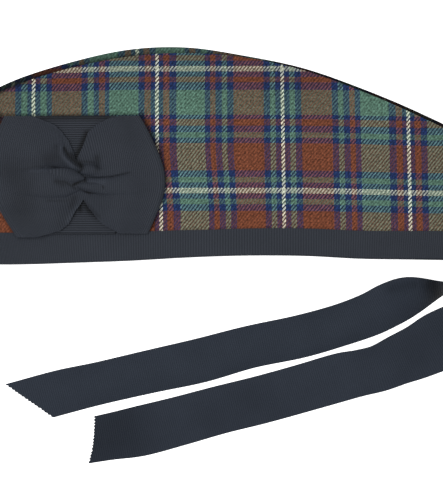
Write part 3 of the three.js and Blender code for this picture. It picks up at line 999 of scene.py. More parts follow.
@dataclass
class Crown(Sheet):
    """The crown, folded lengthways into the cap between the two crests.

    bend has the shares of its width where the fold begins and ends. foot_dark is the painted shade beside
    the upper crest, and foot_fade says where that fades on its way to the lower one.
    """

    body: CapBody
    fold: float = 42.0
    fold_end: float = 6.0
    fold_sweep: float = 0.8
    bend_radius: float = 1.15
    inset: float = 0.035
    bend: Pair = (0.44, 0.56)
    foot_x: tuple[float, ...] = (-80.0, -55.0, -35.0)
    foot_dark: tuple[float, ...] = (0.92, 0.85, 0.4)
    foot_fade: Pair = (0.3, 0.7)
    cut: Cut = Cut(0.095, 0.280, Held.FOLDED, 0.0195, ("side_right",))

    def section(self, along: Array) -> Array:
        """Returns the place in the side's table."""
        return lerp(self.inset, 1.0 - self.inset, along)

    def profile(self, along: Array, across: Array) -> tuple[Array, Array]:
        """Shapes the crown from one crest down to the fold and up to the other.

        Args:
            along: places along the crown.
            across: places across it.

        Returns:
            Rows of points, and the middle of the fold for each.
        """
        body, t = self.body, self.section(along)
        height = body.length(t)
        clear = body.cloth + body.gap
        upper, lower = (body.point(w, height) - clear * body.facing(w, height) for w in (t, 3.0 - t))
        depth = lerp(self.fold_end, self.fold, np.sin(np.pi * t) ** self.fold_sweep)
        valley = rows(upper[:, 0], body.side["crest_y"](t) - depth, (upper[:, 2] + lower[:, 2]) / 2)
        angle = np.radians(np.interp(across, self.bend, (90.0, -90.0)))
        foot = valley + rows(0.0, -np.cos(angle), np.sin(angle)) * self.bend_radius
        near = np.clip(across / self.bend[0], 0.0, 1.0)[:, None]
        far = np.clip((across - self.bend[1]) / (1.0 - self.bend[1]), 0.0, 1.0)[:, None]
        return np.where(across[:, None] < 0.5, lerp(upper, foot, near), lerp(foot, lower, far)), valley

    def surface(self, along: Array, across: Array) -> Array:
        """Returns the crown's points in space."""
        return self.profile(along, across)[0]

    def cloth(self, along: Array, across: Array) -> Array:
        """Lays the crown flat.

        Args:
            along: places along the crown.
            across: places across it.

        Returns:
            Rows of places on the sett.
        """
        at, valley = self.profile(along, across)
        away = np.where(across < 0.5, -1.0, 1.0) * (at[:, 1] - valley[:, 1])
        return rows(at[:, 0], valley[:, 1] + away) + LOWER_WEAVE

    def painted_shade(self, along: Array, across: Array) -> Array:
        """Paints shade into the fold, darkest beside the upper crest.

        Args:
            along: places along the crown.
            across: places across it.

        Returns:
            How strong the painted shade is.
        """
        x, y, _ = self.surface(along, across).T
        t = self.section(along)
        above = (y - self.body.side["crest_y"](t)) / self.body.side["far_rise"](t)
        foot = np.interp(x, self.foot_x, self.foot_dark)
        return np.maximum(self.body.crest_shade(x), foot * (1.0 - smoothstep(above, *self.foot_fade)))

    def build(self, material: bpy.types.Material) -> None:
        """Builds the crown in its finish."""
        piece = self.make("crown_cloth", (160, 48), self.body.cloth_seen)
        hand_over(piece, "crown", material)


@dataclass
class Band(Sheet):
    """The ribbon band: up the inside, round the rim and up the outside of the whole cap.

    corners are the shares of its length where the sides and the end folds meet, lengths the ribbon's length
    there, and fold the shares of its width where it turns round the rim.
    """

    body: CapBody
    turn_in: float = 10.0
    tops: Line = ((0.0, 16.4), (0.17, 16.2), (0.5, 13.5), (0.87, 14.6), (1.0, 15.0))
    corners: tuple[float, ...] = (0.0, 0.46, 0.5, 0.96, 1.0)
    lengths: tuple[float, ...] = (0.0, 285.0, 305.0, 590.0, 610.0)
    fold: Pair = (0.34, 0.46)
    width: Pair = (-13.0, 16.0)
    cut: Cut = Cut(0.030, 0.610, Held.FOLDED)

    def surface(self, along: Array, across: Array) -> Array:
        """Shapes the band.

        Args:
            along: places round the cap.
            across: places from its inner edge to its outer edge.

        Returns:
            Rows of points in space.
        """
        place = np.interp(along, self.corners, QUARTERS)
        angle = np.radians(np.interp(across, self.fold, (-90.0, 90.0)))
        top = np.interp(self.body.section(place), *zip(*self.tops))
        inside = lerp(self.turn_in, 0.0, across / self.fold[0])
        outside = lerp(0.0, top, (across - self.fold[1]) / (1.0 - self.fold[1]))
        rounded = -self.body.band_dip * np.cos(angle)
        height = np.where(across < self.fold[0], inside, np.where(across > self.fold[1], outside, rounded))
        reach = self.body.band_reach * np.sin(angle)
        facing = self.body.facing(place, np.maximum(height, 0.0))
        return self.body.point(place, height) + reach[:, None] * facing

    def cloth(self, along: Array, across: Array) -> Array:
        """Returns the places on the flat ribbon."""
        return rows(np.interp(along, self.corners, self.lengths), lerp(*self.width, across))

    def build(self, material: bpy.types.Material) -> None:
        """Builds the band in its finish."""
        piece = self.make("band_ribbon", (300, 40), self.body.ribbon_seen, ring=True)
        hand_over(piece, "band", material)


@dataclass(frozen=True)
class Corner:
    """How a corner of the bow widens away from the knot: distances from the knot and half heights there."""

    away: tuple[float, ...]
    height: tuple[float, ...]


@dataclass(frozen=True)
class Puff:
    """A soft fullness between two folds of the bow: its middle line, half width and rise along the bow."""

    x: tuple[float, ...]
    y: tuple[float, ...]
    half: tuple[float, ...]
    rise: tuple[float, ...]

    def lift(self, x: Array, y: Array) -> Array:
        """Returns how far the cloth stands up at places on the plan."""
        aside = (y - np.interp(x, self.x, self.y)) / np.interp(x, self.x, self.half)
        return np.interp(x, self.x, self.rise) * np.sqrt(np.clip(1.0 - aside**2, 0.0, 1.0))


@dataclass(frozen=True)
class Crease:
    """A sharp fold in the bow's front, from the knot outwards: its line, depth and width on each side.

    begin says where it begins and is full beside the knot, in millimetres, and fade where it dies away, as
    shares of its length.
    """

    x: tuple[float, ...]
    y: tuple[float, ...]
    depth: float
    above: float
    below: float
    begin: Pair = (-3.0, 0.5)
    fade: Pair = (0.45, 1.0)

    def dip(self, x: Array, y: Array) -> Array:
        """Finds how far the cloth is drawn in at places on the plan.

        Args:
            x: places along the bow.
            y: places up the bow.

        Returns:
            The depth of the fold there.
        """
        order = np.argsort(self.x)
        aside = y - np.interp(x, np.asarray(self.x)[order], np.asarray(self.y)[order])
        width = np.where(aside > 0, self.above, self.below)
        run = self.x[-1] - self.x[0]
        out = np.clip((x - self.x[0]) / run, -1.0, 2.0)
        strength = smoothstep(out * abs(run), *self.begin) * (1.0 - smoothstep(out, *self.fade))
        return self.depth * strength * np.exp(-np.abs(aside) / width)


@dataclass(frozen=True)
class Ridge:
    """A fold that stands up along a line, steep on its right and gentle on its left, seen along the line.

    It swells as a sine does, from the share start of a half wave over the share span of it.
    """

    line: Line
    rise: float
    steep: float
    gentle: float
    start: float = 0.12
    span: float = 0.8

    def lift(self, x: Array, y: Array) -> Array:
        """Finds how far the cloth stands up at places on the plan.

        Args:
            x: places along the bow.
            y: places up the bow.

        Returns:
            The rise there.
        """
        beside = Beside.of(self.line, x, y)
        swell = np.sin(np.pi * np.clip(self.start + self.span * beside.place, 0.0, 1.0))
        width = np.where(beside.left, self.gentle, self.steep)
        return self.rise * swell * np.exp(-((beside.distance / width) ** 2))


# The bow's corners by their sides of the knot (front or back, below or above), its folds and its painted
# shades, measured from the cockade's middle in millimetres. Glints are painted highlights on fold edges.
CORNERS = {
    (-1, 1): Corner((0.0, 1.7, 5.5, 10.5, 23.0, 27.0), (12.5, 19.5, 24.4, 27.6, 32.6, 33.0)),
    (1, 1): Corner(
        (0.0, 1.9, 4.9, 6.4, 8.0, 12.1, 17.2, 25.0), (8.0, 10.9, 15.8, 19.4, 24.0, 28.5, 31.3, 33.0)
    ),
    (-1, -1): Corner((0.0, 5.2, 8.3, 12.0, 17.4, 26.0), (12.5, 19.0, 25.6, 29.2, 31.0, 33.0)),
    (1, -1): Corner((0.0, 2.2, 6.0, 10.8, 16.9, 20.5, 30.0), (12.5, 17.2, 21.8, 25.6, 28.6, 30.6, 31.0)),
}
PUFFS = (
    Puff((-40.0, -34.0, -16.0, -7.0, -1.0, 4.0), (-3.4, -3.4, -3.2, -3.8, -3.6, -2.6),
         (5.0, 6.4, 8.2, 7.2, 4.6, 3.0), (0.0, 0.5, 1.5, 2.0, 1.6, 0.0)),
    Puff((-2.0, 4.0, 14.0, 28.0, 38.0), (-4.0, -4.2, -4.4, -3.0, -2.0),
         (3.0, 4.6, 5.4, 6.6, 7.0), (0.0, 1.5, 1.5, 0.8, 0.0)),
    Puff((-2.0, 3.0, 8.0, 14.0), (4.4, 3.8, 3.2, 2.6), (2.0, 3.0, 3.0, 2.0), (0.0, 0.9, 0.8, 0.0)),
)
RIDGES = (
    Ridge(((0.3, 4.0), (-2.4, 5.6), (-6.8, 9.6), (-9.0, 13.6), (-9.0, 18.0)), 2.0, 0.7, 3.2),
)
CREASES = (
    Crease((-0.8, -4.5, -13.3, -22.7, -28.0), (0.9, 3.0, 5.0, 4.8, 4.2), 2.3, 2.6, 1.6),
    Crease((-0.4, -3.3, -10.8, -20.8, -30.0, -34.0), (-9.4, -12.2, -13.2, -12.4, -10.0, -8.4), 0.3, 1.4, 2.6),
    Crease((0.0, 10.5, 17.7, 23.0, 29.3, 36.0), (0.3, -0.5, -0.1, 0.9, 2.5, 4.4), 2.0, 0.9, 1.6),
    Crease((-2.0, 4.2, 8.6, 12.0, 18.0), (8.0, 7.2, 6.2, 4.8, 4.0), 1.6, 2.6, 0.9),
    Crease((2.0, 9.0, 15.0, 22.0), (-9.5, -9.0, -10.5, -12.5), 1.0, 1.5, 2.2),
)
# Painted shade on the backing, where the bow's edges shade it.
BACKING_SHADES = (
    Shade(((4.4, 23.6), (0.9, 15.8), (-1.6, 10.9)), 1.7, 0.82),
    Shade(((-20.0, 32.2), (16.0, 32.2)), 1.6, 0.55),
    Shade(((1.4, -12.8), (-1.6, -18.1), (-2.8, -20.5)), 1.5, 0.55),
    Shade(((1.5, -12.8), (0.6, -18.0)), 1.7, 0.85),
    Shade(((1.4, -12.8), (5.7, -18.6), (10.0, -21.4)), 1.8, 0.70),
)
# Painted shade in the gaps between the bow's folds and round the knot.
BOW_SHADES = (
    Shade(((-7.9, 15.3), (-5.2, 10.9), (0.3, 6.2)), 0.95, 0.85),
    Shade(((0.2, 7.2), (1.5, 5.2)), 1.60, 0.95),
    Shade(((1.6, -0.4), (3.4, -2.2)), 1.50, 0.85),
    Shade(((-4.2, 12.0), (-0.6, 8.0)), 1.60, 0.70),
    Shade(((-2.0, 2.2), (-0.4, 1.8), (1.8, 4.0)), 0.65, 0.70),
    Shade(((-14.5, 5.5), (-10.6, 4.8), (-4.5, 3.2), (-0.8, 1.6)), 0.70, 0.60),
    Shade(((-37.5, 3.8), (-30.2, 3.9), (-24.0, 5.4), (-16.0, 6.0)), 0.95, 0.30),
    Shade(((-17.0, 9.0), (-12.4, 11.0)), 4.20, 0.36),
    Shade(((-12.4, 16.0), (-11.6, 10.5)), 1.70, 0.30),
    Shade(((-38.0, 6.0), (-14.0, 8.4)), 4.00, 0.16),
    Shade(((1.0, 0.1), (10.5, -0.5), (17.7, -0.1), (27.5, 2.1)), 0.60, 0.50),
    Shade(((-2.7, -4.5), (0.8, -2.6), (3.2, -0.9)), 1.00, 0.90),
    Shade(((-12.8, -2.6), (-7.4, -2.9), (-1.9, -6.4)), 0.75, 0.55),
    Shade(((-12.0, -2.6), (-8.4, -4.2)), 1.60, 0.42),
    Shade(((0.3, -5.5), (5.7, -8.7), (10.1, -7.4), (13.0, -5.8)), 0.90, 0.82),
    Shade(((-17.0, -13.2), (-7.4, -13.2), (-1.6, -12.0)), 0.70, 0.28),
    Shade(((-2.4, -12.0), (-4.0, -16.0)), 2.20, 0.42),
    Shade(((-6.0, -15.0), (-9.0, -25.0)), 4.00, 0.14),
    Shade(((3.2, -13.4), (7.6, -18.6), (11.0, -21.6)), 1.20, 0.30),
    Shade(((10.1, 10.2), (10.3, 4.4)), 1.90, 0.48),
    Shade(((1.4, 8.2), (9.0, 7.6)), 0.80, 0.50),
    Shade(((-37.0, 3.0), (-30.0, -6.0), (-31.0, -18.0)), 8.50, 0.27),
)
# Painted highlights on the edges of the folds.
GLINTS = (
    Shade(((-9.6, 15.6), (-9.6, 12.2), (-7.0, 8.8), (-3.4, 5.2)), 0.90, 0.40),
    Shade(((-26.0, 3.0), (-13.3, 3.4), (-6.0, 1.8), (-2.4, 0.2)), 0.90, 0.28),
    Shade(((3.8, -2.6), (8.0, -3.0), (14.0, -2.8)), 1.50, 0.28),
    Shade(((-1.2, -16.4), (-3.4, -20.4), (-6.4, -24.4)), 1.00, 0.25),
    Shade(((-17.0, 30.0), (-9.0, 25.6), (-4.0, 20.4)), 0.90, 0.18),
)

LOOP_TURNS = (0.0, 0.44, 0.5, 0.94, 1.0)  # shares of a loop's length where its layers and its end folds meet


def loop(along: Array) -> tuple[Array, Array]:
    """Returns the place along a flat loop, -1 to 1, and its turn from the front layer, 0, to the rear, pi."""
    out = np.interp(along, LOOP_TURNS, (-1.0, 1.0, 1.0, -1.0, -1.0))
    return out, np.interp(along, LOOP_TURNS, (0.0, 0.0, np.pi, np.pi, 2 * np.pi))


@dataclass
class CockadeFrame:
    """Where the cockade's layers lie on the cap, in millimetres."""

    body: CapBody
    x: float = -82.0
    y: float = -9.3
    clear: float = 6.0
    ease: float = 8.0

    def __post_init__(self) -> None:
        """Works out the levels of the layers over the cap."""
        gap, ribbon = self.body.gap, self.body.ribbon
        self.backing_low = gap + ribbon / 2
        self.backing_high = self.backing_low + ribbon + gap
        self.bow_low = self.backing_high + ribbon + gap

    def seat(self, x: Array, y: Array) -> Array:
        """Finds the cap, with its band, under the cockade.

        Args:
            x: places along the cap.
            y: places up the cap.

        Returns:
            The height there.
        """
        level = self.body.rim_level + self.body.band_height + self.clear
        on_band = 1.0 - smoothstep(y, level, level + self.ease)
        return self.body.loft(x, y) + self.body.cloth / 2 + on_band * (self.body.gap + self.body.ribbon)

    def from_middle(self, at: Array) -> tuple[Array, Array]:
        """Returns the places of points on the plan, measured from the cockade's middle."""
        return at[:, 0] - self.x, at[:, 1] - self.y


@dataclass
class Backing(Sheet):
    """The level-ribbed loop behind the bow."""

    frame: CockadeFrame
    half_width: float = 21.8
    half_height: float = 31.9
    shift: Pair = (-2.0, 1.0)
    length: float = 135.0
    cut: Cut = Cut(0.0436, 0.135, Held.FOLDED, rests_on=("side_left",))

    def surface(self, along: Array, across: Array) -> Array:
        """Shapes the loop.

        Args:
            along: places round the loop.
            across: places across the ribbon.

        Returns:
            Rows of points in space.
        """
        frame = self.frame
        out, turn = loop(along)
        bend = (frame.backing_high - frame.backing_low) / 2
        x = frame.x + self.shift[0] + lerp(1.0, -1.0, across) * self.half_width
        y = frame.y + self.shift[1] + out * (self.half_height - bend)
        z = frame.seat(x, y) + (frame.backing_low + frame.backing_high) / 2 + bend * np.cos(turn)
        return rows(x, y + bend * np.sin(turn), z)

    def cloth(self, along: Array, across: Array) -> Array:
        """Returns the places on the flat ribbon."""
        return rows(along * self.length, across * self.half_width * 2)

    def painted_shade(self, along: Array, across: Array) -> Array:
        """Returns the painted shade on the backing beside the bow that lies on it."""
        return strongest_shade(BACKING_SHADES, *self.frame.from_middle(self.surface(along, across)))

    def build(self, material: bpy.types.Material) -> None:
        """Builds the backing in its finish."""
        piece = self.make("cockade_backing_ribbon", (200, 60), self.frame.body.ribbon_seen, ring=True)
        hand_over(piece, "cockade_backing", material)


@dataclass
class Bow(Sheet):
    """The loop that the knot pinches, with its folds.

    Tucks draw its ends in towards the knot. front_low, back_high and back_low say where they begin and are
    full up or down the bow, and outer where they do along it.
    """

    backing: Backing
    half_length: float = 44.7
    end_round: float = 3.0
    end_bow: float = 9.7
    lean: float = -2.5
    pinch_lean: float = 0.2
    pinch_reach: float = 12.0
    front_tuck: float = 2.2
    back_tuck: float = 1.8
    back_low_tuck: float = 2.2
    back_short: float = 1.2
    beside: float = 1.3
    droop: float = 21.0
    pressed: float = 1.3
    full: float = 4.6
    end_depth: float = 3.4
    fullest: float = 0.5
    edge_drop: float = 3.3
    thinnest: float = 0.9
    lengths: tuple[float, ...] = (0.0, 89.0, 97.0, 186.0, 194.0)
    half_width: float = 33.0
    front_low: Pair = (0.3, 1.0)
    back_high: Pair = (0.0, 0.7)
    back_low: Pair = (0.1, 0.8)
    outer: Pair = (0.5, 1.0)
    cut: Cut = Cut(0.066, 0.190, Held.GATHERED, rests_on=("cockade_backing",))

    def __post_init__(self) -> None:
        """Takes over the cockade's frame."""
        self.frame = self.backing.frame

    def rest(self, x: Array, y: Array) -> Array:
        """Finds the bow's rear layer, which rests on the backing and beside it on the cap.

        Args:
            x: places along the cap.
            y: places up the cap.

        Returns:
            The height there.
        """
        aside = np.abs(x - self.frame.x - self.backing.shift[0]) - self.backing.half_width
        level = lerp(self.frame.bow_low, self.beside, smoothstep(aside, 0.0, self.droop))
        return self.frame.seat(x, y) + level

    def half_height(self, out: Array, up: Array) -> Array:
        """Finds the half height of the bow, above or below its middle.

        Args:
            out: places along the bow, from -1 to 1.
            up: places up the bow, from -1 to 1.

        Returns:
            The half height there.
        """
        result = np.zeros_like(out)
        away = np.abs(out) * (self.half_length - self.end_bow)
        for (ahead, above), corner in CORNERS.items():
            here = ((out < 0) == (ahead < 0)) & ((up < 0) == (above < 0))
            result = np.where(here, np.interp(away, corner.away, corner.height), result)
        return result

    def depth(self, out: Array, up: Array) -> Array:
        """Finds the distance between the bow's two layers, before its folds.

        Args:
            out: places along the bow, from -1 to 1.
            up: places up the bow, from -1 to 1.

        Returns:
            The distance there.
        """
        away = np.abs(out)
        opened = smoothstep(away, 0.0, self.fullest)
        depth = lerp(self.pressed, self.full, opened)
        depth = lerp(depth, self.end_depth, smoothstep(away, self.fullest, 1.0))
        return depth - self.edge_drop * up**4 * opened

    def tuck(self, out: Array, up: Array) -> Array:
        """Finds how far the corners at the bow's ends are drawn aside.

        Args:
            out: places along the bow, from -1 to 1.
            up: places up the bow, from -1 to 1.

        Returns:
            The shift along the bow.
        """
        front = self.front_tuck * smoothstep(-up, *self.front_low)
        back = self.back_short + self.back_tuck * smoothstep(up, *self.back_high)
        back = back + self.back_low_tuck * smoothstep(-up, *self.back_low)
        return front * smoothstep(-out, *self.outer) - back * smoothstep(out, *self.outer)

    def surface(self, along: Array, across: Array) -> Array:
        """Shapes the bow with its folds.

        Args:
            along: places round the loop.
            across: places across the ribbon.

        Returns:
            Rows of points in space.
        """
        out, turn = loop(along)
        up = lerp(-1.0, 1.0, across)
        y = up * self.half_height(out, up)
        pinch = self.pinch_lean * y * np.exp(-((out * self.half_length / self.pinch_reach) ** 2))
        reach = out * (self.half_length - self.end_bow * up**2)
        x = reach + self.lean * up * np.abs(out) - pinch + self.tuck(out, up)
        full = sum(swell.lift(x, y) for swell in (*PUFFS, *RIDGES))
        full = full - sum(crease.dip(x, y) for crease in CREASES)
        front = np.maximum(self.depth(out, up) + full, self.thinnest)
        x, y = x + self.frame.x, y + self.frame.y
        z = self.rest(x, y) + front * (1.0 + np.cos(turn)) / 2
        return rows(x + self.end_round * np.sin(turn), y, z)

    def cloth(self, along: Array, across: Array) -> Array:
        """Returns the places on the flat ribbon."""
        length = np.interp(along, LOOP_TURNS, self.lengths)
        return rows(length, lerp(-self.half_width, self.half_width, across))

    def painted_shade(self, along: Array, across: Array) -> Array:
        """Paints shade into the gaps between the folds, and painted highlights on the edges that catch the
        light.

        Args:
            along: places round the loop.
            across: places across the ribbon.

        Returns:
            How strong the painted shade is, below 0 on the painted highlights.
        """
        x, y = self.frame.from_middle(self.surface(along, across))
        gap_shade = strongest_shade(BOW_SHADES, x, y)
        return gap_shade - strongest_shade(GLINTS, x, y) * (1.0 - gap_shade)

    def build(self, material: bpy.types.Material) -> None:
        """Builds the bow in its finish."""
        piece = self.make("cockade_bow_ribbon", (320, 110), self.frame.body.ribbon_seen, ring=True)
        hand_over(piece, "cockade_bow", material)


@dataclass(frozen=True)
class Turn:
    """One turn of ribbon in the knot: its route from the cockade's middle, its width, rise and roll."""

    x: tuple[float, ...]
    y: tuple[float, ...]
    wide: tuple[float, ...]
    rise: tuple[float, ...]
    base: float
    roll: float
    length: float


KNOT_TURNS = (
    Turn(
        x=(-16.0, -8.3, -3.9, 0.0, 3.0),
        y=(1.2, 1.2, -0.2, -0.7, -1.1),
        wide=(5.0, 6.4, 7.6, 4.4, 0.8),
        rise=(0.0, 1.0, 1.9, 1.8, 0.4),
        base=0.8,
        roll=150.0,
        length=20.0,
    ),
    Turn(
        x=(-2.8, 1.7, 6.7, 11.0, 16.0),
        y=(-4.4, -5.1, -5.7, -6.0, -6.2),
        wide=(0.8, 3.6, 5.2, 5.8, 6.0),
        rise=(0.2, 1.5, 1.7, 1.0, 0.0),
        base=0.6,
        roll=140.0,
        length=20.0,
    ),
)


@dataclass
class KnotTurn(Sheet):
    """The rounded sheet of one turn of the knot, over the pinched middle of the bow."""

    bow: Bow
    turn: Turn
    width: float = 14.0

    def surface(self, along: Array, across: Array) -> Array:
        """Shapes the turn.

        Args:
            along: places along the turn.
            across: places across it.

        Returns:
            Rows of points in space.
        """
        turn, bow, frame = self.turn, self.bow, self.bow.frame
        path_x, path_y, wide, rise = (Column(values) for values in (turn.x, turn.y, turn.wide, turn.rise))
        ahead = heading(path_x, path_y, along, 1e-3)
        half_roll = np.radians(turn.roll) / 2
        angle = lerp(-half_roll, half_roll, across)
        aside = np.sin(angle) / np.sin(half_roll) * wide(along) / 2
        x = path_x(along) - ahead[:, 1] * aside
        y = path_y(along) + ahead[:, 0] * aside
        crown = (np.cos(angle) - np.cos(half_roll)) / (1.0 - np.cos(half_roll))
        out = x / bow.half_length
        up = np.clip(y / bow.half_height(out, y), -1.0, 1.0)
        base = bow.rest(frame.x + x, frame.y + y) + bow.depth(out, up)
        return rows(frame.x + x, frame.y + y, base + turn.base + crown * rise(along))

    def cloth(self, along: Array, across: Array) -> Array:
        """Returns the places on the flat ribbon."""
        return rows(along * self.turn.length, across * self.width)


@dataclass
class Cockade:
    """The ribbon cockade: a level-ribbed backing, a pinched bow and the twisted knot."""

    body: CapBody
    knot_cut: Cut = Cut(0.010, 0.027, Held.FOLDED, rests_on=("cockade_bow",))

    def knot(self, bow: Bow, material: bpy.types.Material) -> None:
        """Builds the turns of ribbon over the pinched middle as one piece.

        Args:
            bow: the bow under them.
            material: their finish.
        """
        wall = self.body.ribbon_seen
        sheets = [KnotTurn(bow, turn) for turn in KNOT_TURNS]
        turns = [sheet.make(f"knot_turn_{i}", (40, 20), wall) for i, sheet in enumerate(sheets)]
        deselect()
        for turn in turns:
            turn.select_set(True)
        bpy.context.view_layer.objects.active = turns[0]
        bpy.ops.object.join()
        piece = bpy.context.active_object
        piece.name = "cockade_knot_ribbon"
        piece.data.name = piece.name
        hand_over(piece, "cockade_knot", material)

    def build(self, level: bpy.types.Material, upright: bpy.types.Material) -> None:
        """Builds the cockade.

        Args:
            level: finish of the backing.
            upright: finish of the bow and the knot.
        """
        backing = Backing(CockadeFrame(self.body))
        bow = Bow(backing)
        backing.build(level)
        bow.build(upright)
        self.knot(bow, upright)


# Sections of a tail from the back of the cap to its cut end, in millimetres. tilt is 90 where it stands on
# its edge.
TAIL_KEYS = ("x", "y", "tilt", "wide", "lift", "arch")
TAIL_UPPER = (
    (149.55, -40.0, 90, 11.0, 0.6, 0.0),
    (149.55, -53.0, 90, 13.0, 0.4, 0.0),
    (147.4, -59.6, 90, 18.0, 0.2, 0.0),
    (140.0, -63.6, 89, 23.0, 0.0, 0.0),
    (128.5, -67.0, 84, 27.0, 0.0, 0.0),
    (115.5, -70.1, 73, 27.0, 0.0, 0.2),
    (98.1, -74.4, 36, 27.0, 0.0, 0.8),
    (87.2, -78.9, 20, 26.0, 0.4, 1.6),
    (76.3, -84.4, 8, 24.0, 1.0, 2.6),
    (60.0, -90.3, 3, 23.0, 0.8, 3.2),
    (38.2, -96.5, 0, 23.4, 0.0, 3.0),
    (10.9, -102.2, 0, 23.2, 0.0, 3.0),
    (-16.4, -109.6, 0, 24.2, 0.6, 2.4),
    (-43.6, -115.6, 0, 23.5, 0.2, 2.8),
    (-70.9, -121.9, 0, 23.2, 0.0, 2.8),
    (-92.7, -127.0, 0, 24.4, 0.2, 2.0),
    (-120.0, -134.5, 0, 24.6, 0.4, 1.4),
)
TAIL_LOWER = (
    (150.85, -40.0, 90, 11.0, 0.6, 0.0),
    (150.85, -54.0, 90, 14.0, 0.4, 0.0),
    (153.5, -66.0, 90, 20.0, 0.1, 0.0),
    (153.0, -78.0, 82, 26.0, 0.0, 0.0),
    (144.5, -86.5, 60, 29.0, 0.0, 0.2),
    (130.5, -90.8, 24, 32.0, 0.0, 0.4),
    (115.5, -98.3, 9, 33.0, 0.0, 0.6),
    (103.6, -104.4, 4, 30.0, 0.6, 0.9),
    (92.7, -109.0, 0, 27.6, 1.2, 1.4),
    (81.8, -113.7, 0, 25.6, 1.6, 2.2),
    (70.9, -116.4, 0, 25.4, 1.2, 2.2),
    (59.9, -118.9, 0, 26.6, 0.6, 1.2),
    (38.2, -125.2, 0, 26.4, 0.0, 1.0),
    (16.4, -131.2, 0, 26.4, 0.0, 1.0),
    (-5.5, -136.6, 0, 26.4, 0.2, 1.0),
    (-27.3, -142.6, 0, 27.0, 0.4, 0.8),
    (-49.1, -148.2, 0, 27.6, 0.0, 0.8),
    (-66.0, -151.3, 0, 25.6, 0.0, 0.8),
    (-80.0, -153.9, 0, 24.6, 0.4, 0.6),
)
# Painted shade where the upper tail turns on its edge from the light; the lower tail darker in patches.
UPPER_TAIL_SHADES = (
    Shade(((110.5, -67.5), (114.5, -74.0)), 6.0, 0.80),
    Shade(((88.0, -70.0), (100.0, -67.5)), 3.0, 0.2),
)
LOWER_TAIL_SHADES = (
    Shade(((-82.0, -154.0), (-62.0, -150.0)), 20.0, 0.34),
    Shade(((-6.0, -137.0), (14.0, -132.0)), 14.0, 0.12),
    Shade(((100.0, -104.0), (116.0, -96.0)), 14.0, 0.15),
)


@dataclass
class Tail(Sheet):
    """A ribbon tail that twists from its edge to lying flat, with a pinked cut end, in millimetres.

    cut is how far the end slants and hollow how far it curves in. The teeth are counted over a width of
    tooth_span, and fray is how far a loose thread strays from the cut.
    """

    node: str
    table: tuple[tuple[float, ...], ...]
    cut: float
    hollow: float
    shades: tuple[Shade, ...]
    tooth: float = 0.8
    tooth_pitch: float = 1.7
    tooth_span: float = 25.0
    fray: float = 0.14
    fray_seed: int = 7
    ribbon: float = 0.6
    width: float = 27.0
    counts: tuple[int, int] = (360, 72)

    def __post_init__(self) -> None:
        """Measures the tail's route and draws the fraying of its end."""
        self.row = columns(TAIL_KEYS, self.table)
        self.steps = np.linspace(0.0, 1.0, 1200)
        run = np.hypot(np.diff(self.row["x"](self.steps)), np.diff(self.row["y"](self.steps)))
        self.run = np.concatenate([[0.0], np.cumsum(run)])
        self.loose = np.random.default_rng(self.fray_seed).normal(0.0, self.fray, self.counts[1] + 1)

    def reach(self, across: Array) -> Array:
        """Finds how long the tail is across its cut end.

        Args:
            across: places across the ribbon.

        Returns:
            The lengths.
        """
        up = lerp(-1.0, 1.0, across)
        wave = np.abs(np.mod(across * self.tooth_span / self.tooth_pitch, 1.0) - 0.5) * 2.0
        end = self.run[-1] - abs(self.cut) + up * self.cut - self.hollow * (1.0 - up**2)
        return end - self.tooth * wave + self.loose[np.round(across * self.counts[1]).astype(int)]

    def surface(self, along: Array, across: Array) -> Array:
        """Shapes the tail.

        Args:
            along: places along the tail.
            across: places across it.

        Returns:
            Rows of points in space.
        """
        at = np.interp(along * self.reach(across), self.run, self.steps)
        ahead = heading(self.row["x"], self.row["y"], at, 1e-4)
        tilt, arch, lift = (np.maximum(self.row[key](at), 0.0) for key in ("tilt", "arch", "lift"))
        up = lerp(-1.0, 1.0, across)
        half = self.row["wide"](at) / 2
        height = half * np.sin(np.radians(tilt)) * (1.0 + up) + arch * (1.0 - up**2) + lift
        aside = up * half * np.cos(np.radians(tilt))
        x = self.row["x"](at) + ahead[:, 1] * aside
        y = self.row["y"](at) - ahead[:, 0] * aside
        return rows(x, y, height + self.ribbon / 2)

    def cloth(self, along: Array, across: Array) -> Array:
        """Returns the places on the flat ribbon."""
        return rows(along * self.reach(across), across * self.width)

    def painted_shade(self, along: Array, across: Array) -> Array:
        """Returns the painted shade where the tail turns from the light, and where it is darker along its
        length.
        """
        x, y, _ = self.surface(along, across).T
        return strongest_shade(self.shades, x, y)

    def build(self, material: bpy.types.Material) -> None:
        """Builds the tail in its finish."""
        piece = self.make(f"{self.node}_ribbon", self.counts, self.ribbon)
        hand_over(piece, self.node, material)


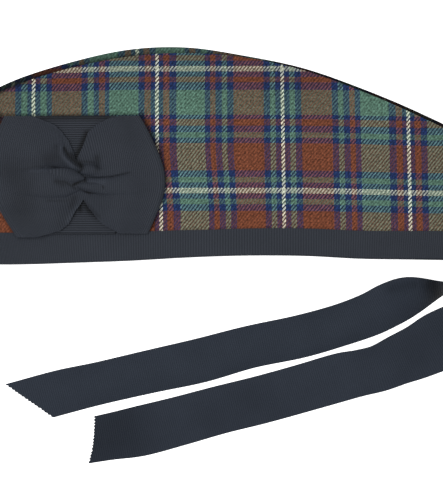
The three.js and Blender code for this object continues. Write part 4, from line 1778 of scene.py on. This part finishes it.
@dataclass
class Studio:
    """The pale floor, the soft lights and the camera straight above."""

    view_x: float = -4.6 * MM
    view_y: float = -49.9 * MM
    view_height: float = 274.1 * MM
    level: float = 0.010
    distance: float = 2.0
    aim: tuple[float, float, float] = (0.0, -0.05, 0.0)
    sky: float = 0.52

    def floor(self) -> None:
        """Lays the floor under the cap."""
        deselect()
        bpy.ops.mesh.primitive_plane_add(size=8.0, location=(0.0, 0.0, 0.0))
        floor = bpy.context.active_object
        floor.name = "floor"
        material = bpy.data.materials.new("pale_floor")
        material.use_nodes = True
        shader = material.node_tree.nodes["Principled BSDF"]
        shader.inputs["Base Color"].default_value = (0.90, 0.90, 0.90, 1.0)
        shader.inputs["Emission Color"].default_value = (1.0, 1.0, 1.0, 1.0)
        shader.inputs["Emission Strength"].default_value = 0.70
        shader.inputs["Roughness"].default_value = 0.9
        shader.inputs["Specular IOR Level"].default_value = 0.1
        floor.data.materials.append(material)

    def lamp(self, name: str, where: tuple[float, float, float], size: float, power: float) -> None:
        """Hangs a soft square light that points at the cap.

        Args:
            name: its name.
            where: its place.
            size: its side.
            power: its power in watts.
        """
        data = bpy.data.lights.new(name, "AREA")
        data.size = size
        data.energy = power
        light = bpy.data.objects.new(name, data)
        light.location = where
        x, y, z = np.subtract(self.aim, where)
        light.rotation_euler = (math.atan2(math.hypot(x, y), -z), 0.0, math.atan2(-x, y))
        bpy.context.scene.collection.objects.link(light)

    def camera(self) -> None:
        """Sets the camera straight above."""
        data = bpy.data.cameras.new("camera")
        data.sensor_width = 36.0
        data.lens = data.sensor_width * self.distance / self.view_height
        data.clip_end = 50.0
        camera = bpy.data.objects.new("camera", data)
        camera.location = (self.view_x, self.view_y, self.level + self.distance)
        bpy.context.scene.collection.objects.link(camera)
        bpy.context.scene.camera = camera

    def build(self) -> None:
        """Sets up the floor, the lights and the camera."""
        self.floor()
        self.lamp("key", (-0.4, 0.05, 1.9), 1.0, 28.8)
        self.lamp("fill", (0.4, -0.3, 1.9), 2.0, 7.4)
        world = bpy.data.worlds.new("studio")
        world.use_nodes = True
        background = world.node_tree.nodes["Background"]
        background.inputs["Color"].default_value = (1.0, 1.0, 1.0, 1.0)
        background.inputs["Strength"].default_value = self.sky
        bpy.context.scene.world = world
        bpy.context.scene.view_settings.view_transform = "Standard"
        self.camera()


def main() -> None:
    """Builds the cap and its studio."""
    logging.basicConfig(level=logging.INFO, format="%(name)s: %(message)s")
    Studio().build()
    tartan = TartanFinish().build()
    ribs = rib_group()
    charcoal = (0.0190, 0.0224, 0.0298)
    band = RibbonFinish("band_ribbon", charcoal, 0.22).build(ribs)
    level = RibbonFinish("backing_ribbon", (0.0175, 0.0205, 0.0272), 0.72).build(ribs)
    upright = RibbonFinish("bow_ribbon", charcoal, 0.35).build(ribs)
    dull = replace(RibbonFinish.touch, sheen=0.0, gloss=0.04)
    trailing = RibbonFinish("tail_ribbon", (0.0212, 0.0262, 0.0360), 0.18, touch=dull).build(ribs)
    body = CapBody()
    SidePanel(body, "side_right", lower=True, counts=(200, 64)).build(tartan)
    SidePanel(body, "side_left", lower=False, counts=(280, 110)).build(tartan)
    Crown(body).build(tartan)
    Band(body).build(band)
    Cockade(body).build(level, upright)
    Tail("tail_upper", TAIL_UPPER, 10.2, 0.0, UPPER_TAIL_SHADES).build(trailing)
    Tail("tail_lower", TAIL_LOWER, -3.9, 1.0, LOWER_TAIL_SHADES).build(trailing)


if __name__ == "__main__":
    main()
